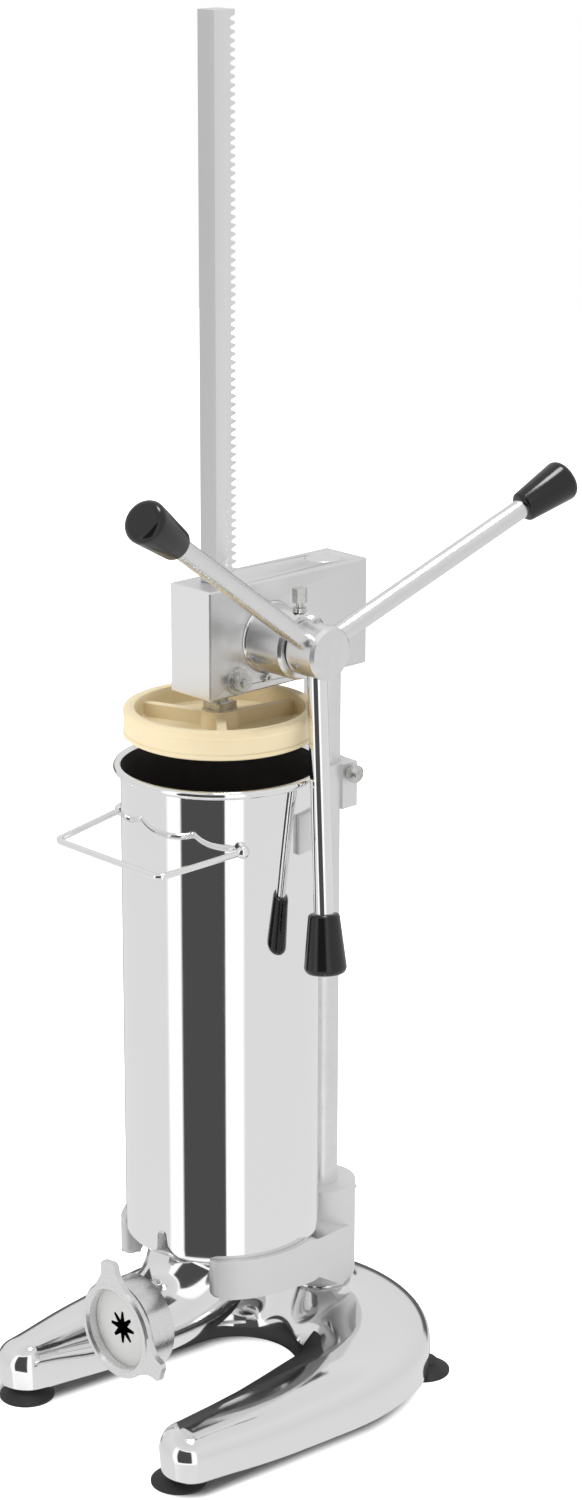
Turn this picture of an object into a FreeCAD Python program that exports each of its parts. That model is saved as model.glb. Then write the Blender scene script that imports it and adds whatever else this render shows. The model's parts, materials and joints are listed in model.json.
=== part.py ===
"""A vertical rack-and-pinion churro press, built piece by piece as a parametric document.

Frame: +Z up, the outlet faces -Y, the crank is on the +X side and the post stands at the rear (+Y).
The origin lies on the bench, under the middle of the machine's bounding box.
Every piece is drawn about the barrel's own axis; the axis stands at Y = barrel_y.
Lengths are millimetres and angles are degrees.
"""

import FreeCAD, Part, Sketcher
import math
import os

from FreeCAD import Placement, Rotation, Vector

X_AXIS = Vector(1, 0, 0)
Y_AXIS = Vector(0, 1, 0)
Z_AXIS = Vector(0, 0, 1)
UP = Rotation()
ALONG_X = Rotation(Y_AXIS, 90)
ALONG_Y = Rotation(X_AXIS, -90)
# Turns X to Y, Y to Z and Z to X.
CYCLE = Rotation(Vector(1, 1, 1), 120)
FULL_TURN = 360

# --------------------------------------------------------------------------------------------
# Driving dimensions
# --------------------------------------------------------------------------------------------

DIMENSIONS = {
    "barrel_y": -42.4,
    # base casting: a horseshoe between two arcs, with two front legs
    "foot_height": 10.0,
    "base_outer_radius": 142.0,
    "base_rear_reach": 71.5,
    "base_inner_radius": 50.0,
    "base_inner_centre": 15.0,
    "base_crest_radius": 94.0,
    "base_crest_centre": 25.0,
    "base_tip_x": 99.0,
    "base_tip_y": -123.0,
    "base_tip_radius": 23.5,
    "base_tip_height": 46.0,
    "base_rear_height": 54.0,
    "base_wall": 6.0,
    "foot_front_x": 93.0,
    "foot_front_y": -129.5,
    "foot_rear_x": 96.0,
    "foot_rear_y": 134.2,
    "foot_radius": 22.2,
    "foot_boss_radius": 11.0,
    "foot_screw_radius": 3.0,
    "foot_screw_head_radius": 6.0,
    "foot_screw_head_height": 1.8,
    "foot_screw_length": 20.0,
    "foot_screw_grip": 6.0,
    # post
    "post_radius": 14.5,
    "post_offset": 108.5,
    "post_boss_radius": 22.0,
    "post_boss_foot_radius": 42.0,
    "post_boss_top": 60.0,
    "post_collar_radius": 25.0,
    "post_collar_height": 2.0,
    "post_collar_edge": 0.6,
    "post_edge": 1.2,
    "post_stub_radius": 10.0,
    "post_nut_height": 10.0,
    "post_nut_flats": 27.0,
    "post_nut_rise": 2.0,
    "post_nut_clearance": 19.0,
    "post_shoulder_rise": 26.0,
    # cradle casting
    "cradle_bottom": 115.0,
    "cradle_top": 148.0,
    "cradle_arm_wall": 4.84,
    "cradle_ledge": 10.66,
    "cradle_open_angle": 46.0,
    "cradle_end_edge": 6.0,
    "cradle_boss_radius": 29.35,
    "cradle_boss_edge": 5.0,
    # barrel
    "barrel_radius": 76.66,
    "barrel_wall": 1.5,
    "barrel_bottom": 143.0,
    "barrel_top": 528.0,
    "bead_radius": 3.2,
    "bead_lift": 2.34,
    "fit_gap": 0.2,
    "running_gap": 0.3,
    # outlet elbow, seal, die plate and ring nut
    "outlet_height": 87.0,
    "elbow_radius": 31.0,
    "elbow_wall": 4.0,
    "elbow_flare_gap": 4.0,
    "elbow_neck_reach": 22.0,
    "barrel_mouth_ledge": 6.0,
    "elbow_outlet_length": 13.0,
    "seal_thickness": 2.0,
    "die_thickness": 7.0,
    "die_radius": 34.2,
    "star_tip_radius": 13.5,
    "star_tip_half": 1.2,
    "star_root_radius": 6.3,
    "star_points": 8,
    "nut_radius": 37.6,
    "nut_flange_radius": 39.6,
    "nut_flange_thickness": 5.5,
    "nut_flange_blend": 3.0,
    "nut_back": 84.0,
    "nut_front": 115.0,
    "nut_opening_radius": 32.0,
    "nut_chamfer": 2.0,
    "lug_reach": 57.0,
    "lug_root_half": 19.0,
    "lug_tip_half": 8.5,
    "lug_tip_edge": 2.5,
    "lug_first_angle": 98.0,
    "lug_spacing": -116.0,
    # wire bail at the barrel's mouth
    "bail_wire_radius": 2.6,
    "bail_half_width": 59.0,
    "bail_reach": 114.7,
    "bail_height": 478.5,
    "bail_boss_angle": 59.7,
    "bail_boss_height": 484.0,
    "bail_boss_radius": 5.5,
    "bail_boss_lift": 3.84,
    "bail_corner_radius": 7.0,
    # upper clamp
    "clamp_bottom": 472.0,
    "clamp_top": 509.0,
    "clamp_radius": 19.5,
    "band_bottom": 472.5,
    "band_top": 503.0,
    "band_thickness": 3.0,
    "band_half_angle": 84.0,
    "clamp_screw_height": 501.0,
    "clamp_screw_y": 10.0,
    "clamp_screw_radius": 4.0,
    "clamp_head_radius": 7.2,
    "clamp_head_length": 8.0,
    # head block
    "head_half_width": 22.66,
    "head_front": -30.1,
    "head_rear": 134.7,
    "head_drop": 39.8,
    "head_rise": 44.9,
    "head_edge": 1.2,
    # rack and pinion
    "gear_module": 2.0,
    "pinion_teeth": 24,
    "pinion_height": 627.8,
    "pinion_half_width": 11.0,
    "tooth_backlash": 0.25,
    "rack_half_width": 8.96,
    "rack_back": -10.85,
    "rack_tip": 9.19,
    "rack_drop": 37.8,
    "rack_length": 504.0,
    "rack_phase": 1.0,
    "rack_gaps": 79,
    "rack_gaps_below_pinion": 5,
    "rack_slot_gap": 0.3,
    "stud_radius": 6.0,
    "stud_length": 34.0,
    # crank
    "shaft_radius": 10.0,
    "shaft_bearing_gap": 0.05,
    "boss_radius": 26.0,
    "boss_root_flare": 2.2,
    "boss_end": 60.0,
    "boss_spigot_radius": 28.0,
    "boss_spigot_length": 9.0,
    "bush_wall": 3.0,
    "boss_screw_radius": 3.2,
    "boss_screw_height": 3.2,
    "boss_screw_socket": 1.6,
    "boss_screw_first_angle": 262.0,
    "boss_screw_second_angle": 20.0,
    "hub_radius": 20.8,
    "hub_start": 61.0,
    "hub_end": 90.0,
    "hub_edge": 2.5,
    "spoke_plane": 73.2,
    "spoke_tilt": 9.15,
    "spoke_rear_angle": 24.4,
    "spoke_front_angle": 145.8,
    "spoke_lower_angle": 263.8,
    "spoke_radius": 7.7,
    "spoke_root": 12.0,
    "spoke_rear_reach": 255.0,
    "spoke_front_reach": 251.0,
    "spoke_lower_reach": 246.0,
    "grip_length": 46.6,
    "grip_outer_radius": 16.3,
    "grip_inner_radius": 12.2,
    "grip_inner_edge": 3.0,
    "grip_end_edge": 6.0,
    "grip_cover": 0.75,
    # screws of the head block
    "brake_screw_x": 55.0,
    "brake_head_length": 11.0,
    "brake_head_flats": 10.0,
    "brake_neck_length": 7.5,
    "brake_neck_radius": 2.8,
    "brake_ring_radius": 5.2,
    "brake_ring_height": 3.2,
    "guide_bolt_y": -2.5,
    "guide_bolt_drop": 28.3,
    "guide_bolt_flats": 13.5,
    "guide_bolt_head": 6.5,
    "guide_bolt_end_radius": 3.5,
    "guide_bolt_end_length": 1.6,
    "guide_washer_radius": 10.4,
    "guide_washer_thickness": 1.8,
    "guide_bolt_radius": 4.0,
    "guide_pad_thickness": 3.0,
    # piston
    "piston_radius": 74.2,
    "piston_below_stud": 3.0,
    "piston_height": 22.5,
    "piston_rim": 9.0,
    "piston_floor": 6.0,
    "piston_hub_radius": 14.0,
    "piston_hub_height": 20.0,
    "piston_rib": 7.0,
    "piston_rib_height": 16.5,
    "piston_rib_count": 3,
    "piston_rib_angle": 80.0,
    "piston_step": 0.7,
    "piston_step_height": 6.0,
    "piston_nut_width": 18.0,
    "piston_nut_height": 6.0,
    "piston_low_nut_flats": 19.0,
    "piston_low_nut_height": 5.0,
}

# Heights and places that follow from the dimensions above.
DERIVED = {
    "base_outer_centre": "=post_offset + base_rear_reach - base_outer_radius",
    "head_bottom": "=pinion_height - head_drop",
    "head_top": "=pinion_height + head_rise",
    "rack_bottom": "=pinion_height - rack_drop",
    "rack_top": "=rack_bottom + rack_length",
    "stud_bottom": "=rack_bottom - stud_length",
    "piston_bottom": "=stud_bottom - piston_below_stud",
    "piston_top": "=piston_bottom + piston_height",
    "piston_hub_top": "=piston_bottom + piston_hub_height",
    "piston_rib_top": "=piston_bottom + piston_rib_height",
    "guide_bolt_height": "=pinion_height - guide_bolt_drop",
    "elbow_bore": "=elbow_radius - elbow_wall",
    "bead_centre_radius": "=barrel_radius + bead_lift",
    "bail_boss_reach": "=barrel_radius + bail_boss_lift",
    "cradle_arm_radius": "=barrel_radius + cradle_arm_wall",
    "cradle_seat_radius": "=barrel_radius - cradle_ledge",
    "elbow_flare_radius": "=cradle_seat_radius - elbow_flare_gap",
    "barrel_mouth_radius": "=elbow_flare_radius - barrel_mouth_ledge",
    "elbow_tail": "=elbow_flare_radius + elbow_neck_reach",
    "elbow_end": "=elbow_tail + elbow_outlet_length",
}

doc = FreeCAD.newDocument("churro_press")
sheet = doc.addObject("Spreadsheet::Sheet", "Dims")
for row, (alias, number) in enumerate({**DIMENSIONS, **DERIVED}.items(), start=1):
    sheet.set(f"A{row}", alias)
    sheet.setAlias(f"B{row}", alias)
    sheet.set(f"B{row}", str(number))
doc.recompute()


class Size:
    """A length that knows both its value and the spreadsheet expression behind it."""

    def __init__(self, value, text):
        self.value = float(value)
        self.text = text

    def __float__(self):
        return self.value

    def __add__(self, other):
        other = as_size(other)
        return Size(self.value + other.value, f"({self.text} + {other.text})")

    def __sub__(self, other):
        other = as_size(other)
        return Size(self.value - other.value, f"({self.text} - {other.text})")

    def __mul__(self, other):
        other = as_size(other)
        return Size(self.value * other.value, f"({self.text} * {other.text})")

    def __truediv__(self, other):
        other = as_size(other)
        return Size(self.value / other.value, f"({self.text} / {other.text})")

    def __rsub__(self, other):
        return as_size(other) - self

    def __neg__(self):
        return Size(-self.value, f"(-1 * {self.text})")


def as_size(number):
    """A plain number as a Size, so that the two can be mixed in one sum."""
    if isinstance(number, Size):
        return number
    return Size(number, repr(float(number)))


class Dimensions:
    """Reads each alias of the sheet as a Size: d.barrel_radius, d.post_offset and so on."""

    def __getattr__(self, alias):
        return Size(getattr(sheet, alias), f"Dims.{alias}")


d = Dimensions()
ZERO = as_size(0)


def value(alias):
    """The plain number in one cell of the sheet."""
    return float(getattr(sheet, alias))


# --------------------------------------------------------------------------------------------
# Helpers: sketches, features and placing
# --------------------------------------------------------------------------------------------

parts = {}


def bind(obj, path, size):
    """Ties one property of an object to its spreadsheet expression."""
    obj.setExpression(path, as_size(size).text)


def put(obj, x=0, y=0, z=0, turn=UP):
    """Places an object at (x, y, z), turned by a fixed rotation."""
    obj.Placement = Placement(Vector(float(x), float(y), float(z)), turn)
    for axis, size in (("x", x), ("y", y), ("z", z)):
        bind(obj, f"Placement.Base.{axis}", size)
    return obj


def keep(obj, label):
    """Registers a finished sub-part and stands it in the frame, with the barrel's axis at barrel_y."""
    obj.Label = label
    base = obj.Placement.Base
    turn = obj.Placement.Rotation
    obj.Placement = Placement(base + Vector(0, value("barrel_y"), 0), turn)
    bind(obj, "Placement.Base.y", d.barrel_y + base.y)
    parts[label] = obj
    return obj


def keep_shape(shape, label):
    """Registers a sub-part whose solid is worked out here from the sheet's values."""
    obj = doc.addObject("Part::Feature", label)
    obj.Shape = shape
    return keep(obj, label)


def new_body(name):
    return doc.addObject("PartDesign::Body", name)


def plane(body, role):
    """One of a body's own origin planes or axes, found by its role."""
    return next(f for f in body.Origin.OriginFeatures if f.Role == role)


def sketch(body, name, role, offset=ZERO):
    """An empty sketch on one of the body's origin planes, moved along the plane's normal by offset."""
    drawing = body.newObject("Sketcher::SketchObject", name)
    drawing.AttachmentSupport = (plane(body, role), [""])
    drawing.MapMode = "FlatFace"
    drawing.AttachmentOffset = Placement(Vector(0, 0, float(offset)), UP)
    bind(drawing, "AttachmentOffset.Base.z", offset)
    return drawing


def hold_point(drawing, geometry, point, u, v):
    """Holds a sketch point at (u, v) from the sketch's origin, each driven by an expression."""
    for kind, size in (("DistanceX", u), ("DistanceY", v)):
        size = as_size(size)
        index = drawing.addConstraint(Sketcher.Constraint(kind, -1, 1, geometry, point, size.value))
        bind(drawing, f"Constraints[{index}]", size)


def outline(drawing, corners):
    """Draws a closed polygon through corners, each a pair of sizes."""
    count = len(corners)
    points = [Vector(float(u), float(v), 0) for u, v in corners]
    first = drawing.GeometryCount
    for i in range(count):
        drawing.addGeometry(Part.LineSegment(points[i], points[(i + 1) % count]), False)
    for i in range(count):
        drawing.addConstraint(Sketcher.Constraint("Coincident", first + i, 2, first + (i + 1) % count, 1))
    for i, (u, v) in enumerate(corners):
        hold_point(drawing, first + i, 1, u, v)
    return drawing


def circle(drawing, u, v, radius):
    """Draws a circle of a driven radius about (u, v)."""
    radius = as_size(radius)
    index = drawing.addGeometry(Part.Circle(Vector(float(u), float(v), 0), Z_AXIS, radius.value), False)
    hold_point(drawing, index, 3, u, v)
    held = drawing.addConstraint(Sketcher.Constraint("Radius", index, radius.value))
    bind(drawing, f"Constraints[{held}]", radius)
    return drawing


def feature(body, kind, name, profile, **settings):
    """Adds a PartDesign feature on a sketch and sets its plain properties."""
    made = body.newObject(f"PartDesign::{kind}", name)
    made.Profile = profile
    for key, setting in settings.items():
        setattr(made, key, setting)
    profile.Visibility = False
    return made


def pad(body, name, profile, length, reverse=False, both_ways=False):
    made = feature(body, "Pad", name, profile, Reversed=reverse)
    made.SideType = "Symmetric" if both_ways else "One side"
    bind(made, "Length", length)
    return made


def pocket(body, name, profile, length, reverse=False, both_ways=False):
    made = feature(body, "Pocket", name, profile, Reversed=reverse)
    made.SideType = "Symmetric" if both_ways else "One side"
    bind(made, "Length", length)
    return made


def spin(body, name, profile, kind="Revolution", axis="V_Axis"):
    """Revolves or grooves a profile a full turn about one of its sketch axes."""
    return feature(body, kind, name, profile, ReferenceAxis=(profile, [axis]), Angle=FULL_TURN)


def repeat_around(body, name, original, count, axis_role="Z_Axis"):
    """Repeats a feature evenly about one of the body's axes."""
    pattern = body.newObject("PartDesign::PolarPattern", name)
    pattern.Originals = [original]
    pattern.Axis = (plane(body, axis_role), [""])
    pattern.Angle = FULL_TURN
    bind(pattern, "Occurrences", count)
    body.Tip = pattern
    return pattern


def soften(body, name, base, edges, size, kind="Fillet"):
    """Rounds or bevels the named edges of a feature."""
    made = body.newObject(f"PartDesign::{kind}", name)
    made.Base = (base, edges)
    bind(made, "Radius" if kind == "Fillet" else "Size", size)
    return made


def turned_body(label, profile_points, turn=UP, x=ZERO, y=ZERO, z=ZERO):
    """A body revolved about its own Z axis from (radius, height) corners, then placed."""
    body = new_body(label)
    drawing = outline(sketch(body, f"{label}_profile", "XZ_Plane"), profile_points)
    spin(body, f"{label}_turned", drawing)
    put(body, x, y, z, turn)
    return body


def primitive(kind, name, x=ZERO, y=ZERO, z=ZERO, turn=UP, **sizes):
    """A Part primitive with every size and its place driven by the sheet."""
    made = doc.addObject(f"Part::{kind}", name)
    for key, size in sizes.items():
        bind(made, key, size)
    return put(made, x, y, z, turn)


def cylinder(name, radius, length, x=ZERO, y=ZERO, z=ZERO, turn=UP):
    return primitive("Cylinder", name, x, y, z, turn, Radius=radius, Height=length)


def fuse(name, *shapes):
    made = doc.addObject("Part::MultiFuse", name)
    made.Shapes = list(shapes)
    return made


def cut(name, base, tool):
    made = doc.addObject("Part::Cut", name)
    made.Base = base
    made.Tool = tool
    return made


def hexagon_prism(name, flats, length, x=ZERO, y=ZERO, z=ZERO, turn=UP):
    """A hexagonal prism given by its width across flats."""
    made = primitive("Prism", name, x, y, z, turn, Height=length)
    made.Polygon = 6
    bind(made, "Circumradius", as_size(flats) / math.sqrt(3))
    return made


# --------------------------------------------------------------------------------------------
# Base: hollow horseshoe casting, suction feet and their screws
# --------------------------------------------------------------------------------------------

LEG_STATIONS = 4
TIP_ANGLES = (0, 30, 55, 75, 86)
TIP_ROUNDNESS = 0.4
REAR_STEP = 22.5
# Where the section's crown passes, as (share of the way, share of the height).
INNER_SLOPE = (0.35, 0.30)
OUTER_SHOULDER = (0.62, 0.86)
OUTER_SIDE = (0.93, 0.42)
# The cup's section from the screw outward, as (share of the lip's radius, share of the height).
CUP_PROFILE = (
    (0.38, 0.40), (0.67, 0.26), (0.82, 0.0), (1.0, 0.0), (1.0, 0.16), (0.68, 0.55), (0.52, 0.80), (0.52, 1.0),
)


def base_station(inner, outer, crest, height, floor):
    """A crowned section standing on a line from the inner to the outer bottom edge.

    It climbs a straight inner slope to a rounded crest, then falls over a full shoulder to a
    nearly upright outer side.
    """
    across = crest - inner
    beyond = outer - crest
    rise = height - floor
    points = [
        inner,
        inner + across * INNER_SLOPE[0] + Z_AXIS * (INNER_SLOPE[1] * rise),
        crest + Z_AXIS * rise,
        crest + beyond * OUTER_SHOULDER[0] + Z_AXIS * (OUTER_SHOULDER[1] * rise),
        crest + beyond * OUTER_SIDE[0] + Z_AXIS * (OUTER_SIDE[1] * rise),
        outer,
    ]
    crown = Part.BSplineCurve()
    crown.interpolate(points)
    return Part.Wire([crown.toShape(), Part.makeLine(points[-1], points[0])])


def base_skin(inset):
    """The horseshoe's solid, drawn smaller by inset on every side but the bottom."""
    floor = value("foot_height") - min(inset, 1.0)
    tip_x, tip_y = value("base_tip_x"), value("base_tip_y")
    tip_radius = value("base_tip_radius") - inset
    tip_height = value("base_tip_height") - inset
    rear_height = value("base_rear_height") - inset
    inner_radius, inner_y = value("base_inner_radius") + inset, value("base_inner_centre")
    outer_radius, outer_y = value("base_outer_radius") - inset, value("base_outer_centre")
    crest_radius, crest_y = value("base_crest_radius"), value("base_crest_centre")
    tip_crest_x = tip_x - 0.4 * value("base_tip_radius")
    stations = []
    for angle in reversed(TIP_ANGLES):
        shrink = math.cos(math.radians(angle))
        half = tip_radius * shrink
        y = tip_y - tip_radius * math.sin(math.radians(angle))
        crest_x = tip_x + (tip_crest_x - tip_x) * shrink
        height = floor + (tip_height - floor) * shrink ** TIP_ROUNDNESS
        stations.append(
            (Vector(tip_x - half, y, floor), Vector(tip_x + half, y, floor), Vector(crest_x, y, floor),
             height)
        )
    for step in range(1, LEG_STATIONS + 1):
        share = step / LEG_STATIONS
        bow = 1 - (1 - share) ** 2
        inner = Vector(tip_x - tip_radius + (inner_radius - tip_x + tip_radius) * share, 0, floor)
        outer = Vector(tip_x + tip_radius + (outer_radius - tip_x - tip_radius) * bow, 0, floor)
        crest = Vector(tip_crest_x + (crest_radius - tip_crest_x) * share, 0, floor)
        inner.y = tip_y + (inner_y - tip_y) * share
        outer.y = tip_y + (outer_y - tip_y) * share
        crest.y = tip_y + (crest_y - tip_y) * share
        height = tip_height + (rear_height - tip_height) * share
        stations.append((inner, outer, crest, height))
    angle = REAR_STEP
    while angle <= 90:
        out = Vector(math.cos(math.radians(angle)), math.sin(math.radians(angle)), 0)
        inner = out * inner_radius + Vector(0, inner_y, floor)
        outer = out * outer_radius + Vector(0, outer_y, floor)
        crest = out * crest_radius + Vector(0, crest_y, floor)
        stations.append((inner, outer, crest, rear_height))
        angle += REAR_STEP
    wires = [base_station(*place[:3], place[3], floor) for place in stations]
    flip = FreeCAD.Matrix()
    flip.scale(-1, 1, 1)
    wires += [wire.transformGeometry(flip) for wire in reversed(wires[:-1])]
    return Part.makeLoft(wires, True, False)


def foot_places():
    """The four feet as (x, y), measured from the barrel's axis."""
    front_x, front_y = value("foot_front_x"), value("foot_front_y")
    rear_x, rear_y = value("foot_rear_x"), value("foot_rear_y")
    return [(front_x, front_y), (-front_x, front_y), (rear_x, rear_y), (-rear_x, rear_y)]


def make_base_casting():
    """Hollow cast horseshoe with four foot bosses and the swept-up boss that carries the post."""
    floor, wall = value("foot_height"), value("base_wall")
    post_y, boss_top = value("post_offset"), value("post_boss_top")
    foot_radius, neck_radius = value("post_boss_foot_radius"), value("post_collar_radius")
    place = Vector(0, post_y, floor)
    outside = base_skin(0).fuse(Part.makeCone(foot_radius, neck_radius, boss_top - floor, place))
    inside = base_skin(wall).fuse(Part.makeCone(foot_radius - wall, neck_radius - wall,
                                                boss_top - wall - floor, place))
    shell = outside.cut(inside)
    bosses = [Part.makeCylinder(value("foot_boss_radius"), value("base_rear_height"), Vector(x, y, floor))
              for x, y in foot_places()]
    bosses = [boss.common(outside) for boss in bosses]
    boss_bottom = floor + value("post_nut_rise") + value("post_nut_height")
    post_boss = Part.makeCylinder(value("post_boss_radius"), boss_top - boss_bottom,
                                  Vector(0, post_y, boss_bottom))
    solid = shell.multiFuse(bosses + [post_boss])
    bore = value("foot_screw_radius")
    depth = value("foot_screw_length") - value("foot_screw_grip")
    holes = [Part.makeCylinder(bore, depth + bore, Vector(x, y, floor - bore)) for x, y in foot_places()]
    shoulder = floor + value("post_shoulder_rise")
    slack = value("fit_gap") / 4
    holes.append(Part.makeCylinder(value("post_radius") + slack, boss_top, Vector(0, post_y, shoulder)))
    holes.append(Part.makeCylinder(value("post_stub_radius") + slack, boss_top, place))
    holes.append(Part.makeCylinder(value("post_nut_clearance"), boss_bottom - floor, place))
    return keep_shape(solid.cut(Part.makeCompound(holes)).removeSplitter().Solids[0], "base_casting")


def make_suction_feet():
    """Four rubber cups: a flat lip on the bench, a hollow underneath and a neck against the casting."""
    lip, top, hole = value("foot_radius"), value("foot_height"), value("foot_screw_radius")
    profile = [(share * lip, rise * top) for share, rise in CUP_PROFILE]
    profile = [(hole, CUP_PROFILE[0][1] * top)] + profile + [(hole, top)]
    wire = Part.makePolygon([Vector(r, 0, z) for r, z in profile + profile[:1]])
    cup = Part.Face(wire).revolve(Vector(), Z_AXIS, FULL_TURN)
    cups = []
    for x, y in foot_places():
        one = cup.copy()
        one.translate(Vector(x, y, 0))
        cups.append(one)
    return keep_shape(Part.makeCompound(cups), "suction_feet")


def make_foot_screws():
    """A round-headed screw up through each cup into its boss."""
    under_head = CUP_PROFILE[0][1] * value("foot_height")
    screws = []
    for x, y in foot_places():
        height = value("foot_screw_head_height")
        head = Part.makeCylinder(value("foot_screw_head_radius"), height, Vector(x, y, under_head - height))
        shank = Part.makeCylinder(value("foot_screw_radius"),
                                  value("foot_screw_length") - value("foot_screw_grip") + height,
                                  Vector(x, y, under_head - height))
        screws.append(head.fuse(shank).removeSplitter())
    return keep_shape(Part.makeCompound(screws), "foot_screws")


# --------------------------------------------------------------------------------------------
# Post, collar and nut
# --------------------------------------------------------------------------------------------


def make_post():
    """Round post with a turned-down threaded foot."""
    shoulder = d.foot_height + d.post_shoulder_rise
    length = d.head_top - shoulder
    tail = 1 - d.post_shoulder_rise
    profile = [
        (0, tail), (d.post_stub_radius, tail), (d.post_stub_radius, 0), (d.post_radius, 0),
        (d.post_radius, length - d.post_edge), (d.post_radius - d.post_edge, length), (0, length),
    ]
    return keep(turned_body("post", profile, y=d.post_offset, z=shoulder), "post")


def make_post_nut():
    outside = hexagon_prism("post_nut_hexagon", d.post_nut_flats, d.post_nut_height)
    bore = cylinder("post_nut_bore", d.post_stub_radius, d.post_nut_height)
    nut = cut("post_foot_nut", outside, bore)
    return keep(put(nut, y=d.post_offset, z=d.foot_height + d.post_nut_rise), "post_foot_nut")


def make_post_collar():
    """Polished ring that the cradle's boss rests on."""
    inner = d.post_radius + d.fit_gap / 4
    height, edge = d.post_collar_height, d.post_collar_edge
    profile = [
        (inner, 0), (d.post_collar_radius - edge, 0), (d.post_collar_radius, edge),
        (d.post_collar_radius, height - edge), (d.post_collar_radius - edge, height), (inner, height),
    ]
    return keep(turned_body("post_collar", profile, y=d.post_offset, z=d.post_boss_top), "post_collar")


# --------------------------------------------------------------------------------------------
# Cradle: the casting that holds the barrel's foot
# --------------------------------------------------------------------------------------------


def belt_outline(big, small, distance):
    """Closed wire around two circles on the Y axis, joined by their common outer tangents."""
    lean = math.asin((big - small) / distance)
    side = Vector(math.cos(lean), math.sin(lean), 0)
    mirror = Vector(-side.x, side.y, 0)
    far = Vector(0, distance, 0)
    back = far + Vector(0, small, 0)
    return Part.Wire([
        Part.Arc(mirror * big, Vector(0, -big, 0), side * big).toShape(),
        Part.makeLine(side * big, far + side * small),
        Part.Arc(far + side * small, back, far + mirror * small).toShape(),
        Part.makeLine(far + mirror * small, mirror * big),
    ])


def side_slab(points, half_width):
    """A solid with a (y, z) outline, as wide as two half widths along X."""
    wire = Part.makePolygon([Vector(-half_width, y, z) for y, z in points + points[:1]])
    return Part.Face(wire).extrude(Vector(2 * half_width, 0, 0))


def make_cradle():
    """Horseshoe saddle under the barrel, swept back and down into the boss on the post."""
    low, high = value("cradle_bottom"), value("cradle_top")
    arm, seat = value("cradle_arm_radius"), value("cradle_seat_radius")
    post_y, boss = value("post_offset"), value("cradle_boss_radius")
    boss_low = value("post_boss_top") + value("post_collar_height")
    belt = Part.Face(belt_outline(arm, boss - 1, post_y)).extrude(Vector(0, 0, high))
    side = [(-arm - 1, high), (20, high), (post_y + boss, 105), (post_y + boss, boss_low + 8),
            (post_y - 10, boss_low + 6), (40, low - 8), (0, low), (-arm - 1, low)]
    web = belt.common(side_slab(side, 2 * arm))
    hub = Part.makeCylinder(boss, high - boss_low, Vector(0, post_y, boss_low))
    edges = [edge for edge in hub.Edges if edge.Curve.TypeId == "Part::GeomCircle"]
    lower = [edge for edge in edges if edge.BoundBox.ZMax < boss_low + 1]
    hub = hub.makeFillet(value("cradle_boss_edge"), lower)
    solid = web.fuse(hub)
    clear = value("barrel_radius") + value("fit_gap")
    solid = solid.cut(Part.makeCylinder(clear, high, Vector(0, 0, value("barrel_bottom"))))
    solid = solid.cut(Part.makeCylinder(seat, high, Vector(0, 0, low - 60)))
    reach = 2 * arm
    opening = math.radians(value("cradle_open_angle"))
    wedge = Part.Face(Part.makePolygon([
        Vector(0, 0, 0), Vector(reach * math.sin(opening), -reach * math.cos(opening), 0),
        Vector(0, -2 * reach, 0), Vector(-reach * math.sin(opening), -reach * math.cos(opening), 0),
        Vector(0, 0, 0),
    ])).extrude(Vector(0, 0, high + 1))
    solid = solid.cut(wedge)
    middle, half = 0.5 * (arm + seat), 0.5 * (arm - seat)
    for side in (-1, 1):
        end = Vector(side * middle * math.sin(opening), -middle * math.cos(opening), low)
        tip = Part.makeCylinder(half, high - low, end)
        bottom = [edge for edge in tip.Edges if edge.BoundBox.ZMax < low + 1 and edge.Length > half]
        tip = tip.makeFillet(min(value("cradle_end_edge"), half - 1), bottom)
        tip = tip.cut(Part.makeCylinder(clear, high, Vector(0, 0, value("barrel_bottom"))))
        solid = solid.fuse(tip)
    bore = Part.makeCylinder(value("post_radius") + value("fit_gap") / 4, high,
                             Vector(0, post_y, boss_low - 1))
    screw = Part.makeCylinder(4, 40, Vector(0, post_y, 0.5 * (low + high)), Y_AXIS)
    solid = solid.cut(Part.makeCompound([bore, screw])).removeSplitter()
    return keep_shape(solid.Solids[0], "barrel_cradle")


def make_cradle_screw():
    """Hexagon-headed set screw at the back of the cradle's boss."""
    height = (d.cradle_bottom + d.cradle_top) * 0.5
    start = d.post_offset + d.post_radius + 0.1
    face = d.post_offset + d.cradle_boss_radius
    shank = cylinder("cradle_screw_shank", 4, face - start + 1, y=start, z=height, turn=ALONG_Y)
    head = hexagon_prism("cradle_screw_head", 13, 6, y=face, z=height, turn=ALONG_Y)
    return keep(fuse("cradle_set_screw", shank, head), "cradle_set_screw")


# --------------------------------------------------------------------------------------------
# Barrel, elbow, seal, die plate and ring nut
# --------------------------------------------------------------------------------------------


def make_barrel():
    """Spun steel cylinder with a rolled bead at its mouth and a holed floor."""
    inner = d.barrel_radius - d.barrel_wall
    floor = d.barrel_bottom + d.barrel_wall
    mouth = d.barrel_mouth_radius
    body = new_body("barrel")
    wall = outline(sketch(body, "barrel_wall_profile", "XZ_Plane"), [
        (mouth, d.barrel_bottom), (d.barrel_radius, d.barrel_bottom), (d.barrel_radius, d.barrel_top),
        (inner, d.barrel_top), (inner, floor), (mouth, floor),
    ])
    spin(body, "barrel_shell", wall)
    bead = circle(sketch(body, "barrel_bead_profile", "XZ_Plane"), d.bead_centre_radius, d.barrel_top,
                  d.bead_radius)
    spin(body, "barrel_bead", bead)
    return keep(body, "barrel")


# Where the horn's inner and outer lines pass between its outlet and the barrel's floor, as (forward, up)
# from the outlet's height under the barrel's axis, in shares of the flare's radius and of the drop.
HORN_INNER = ((1.21, 0.60), (1.10, 0.68), (1.032, 0.786), (1.008, 0.893))
HORN_OUTER = ((0.935, -0.545), (0.42, -0.45), (-0.065, -0.125), (-0.516, 0.446))
HORN_SECTIONS = 15


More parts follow.
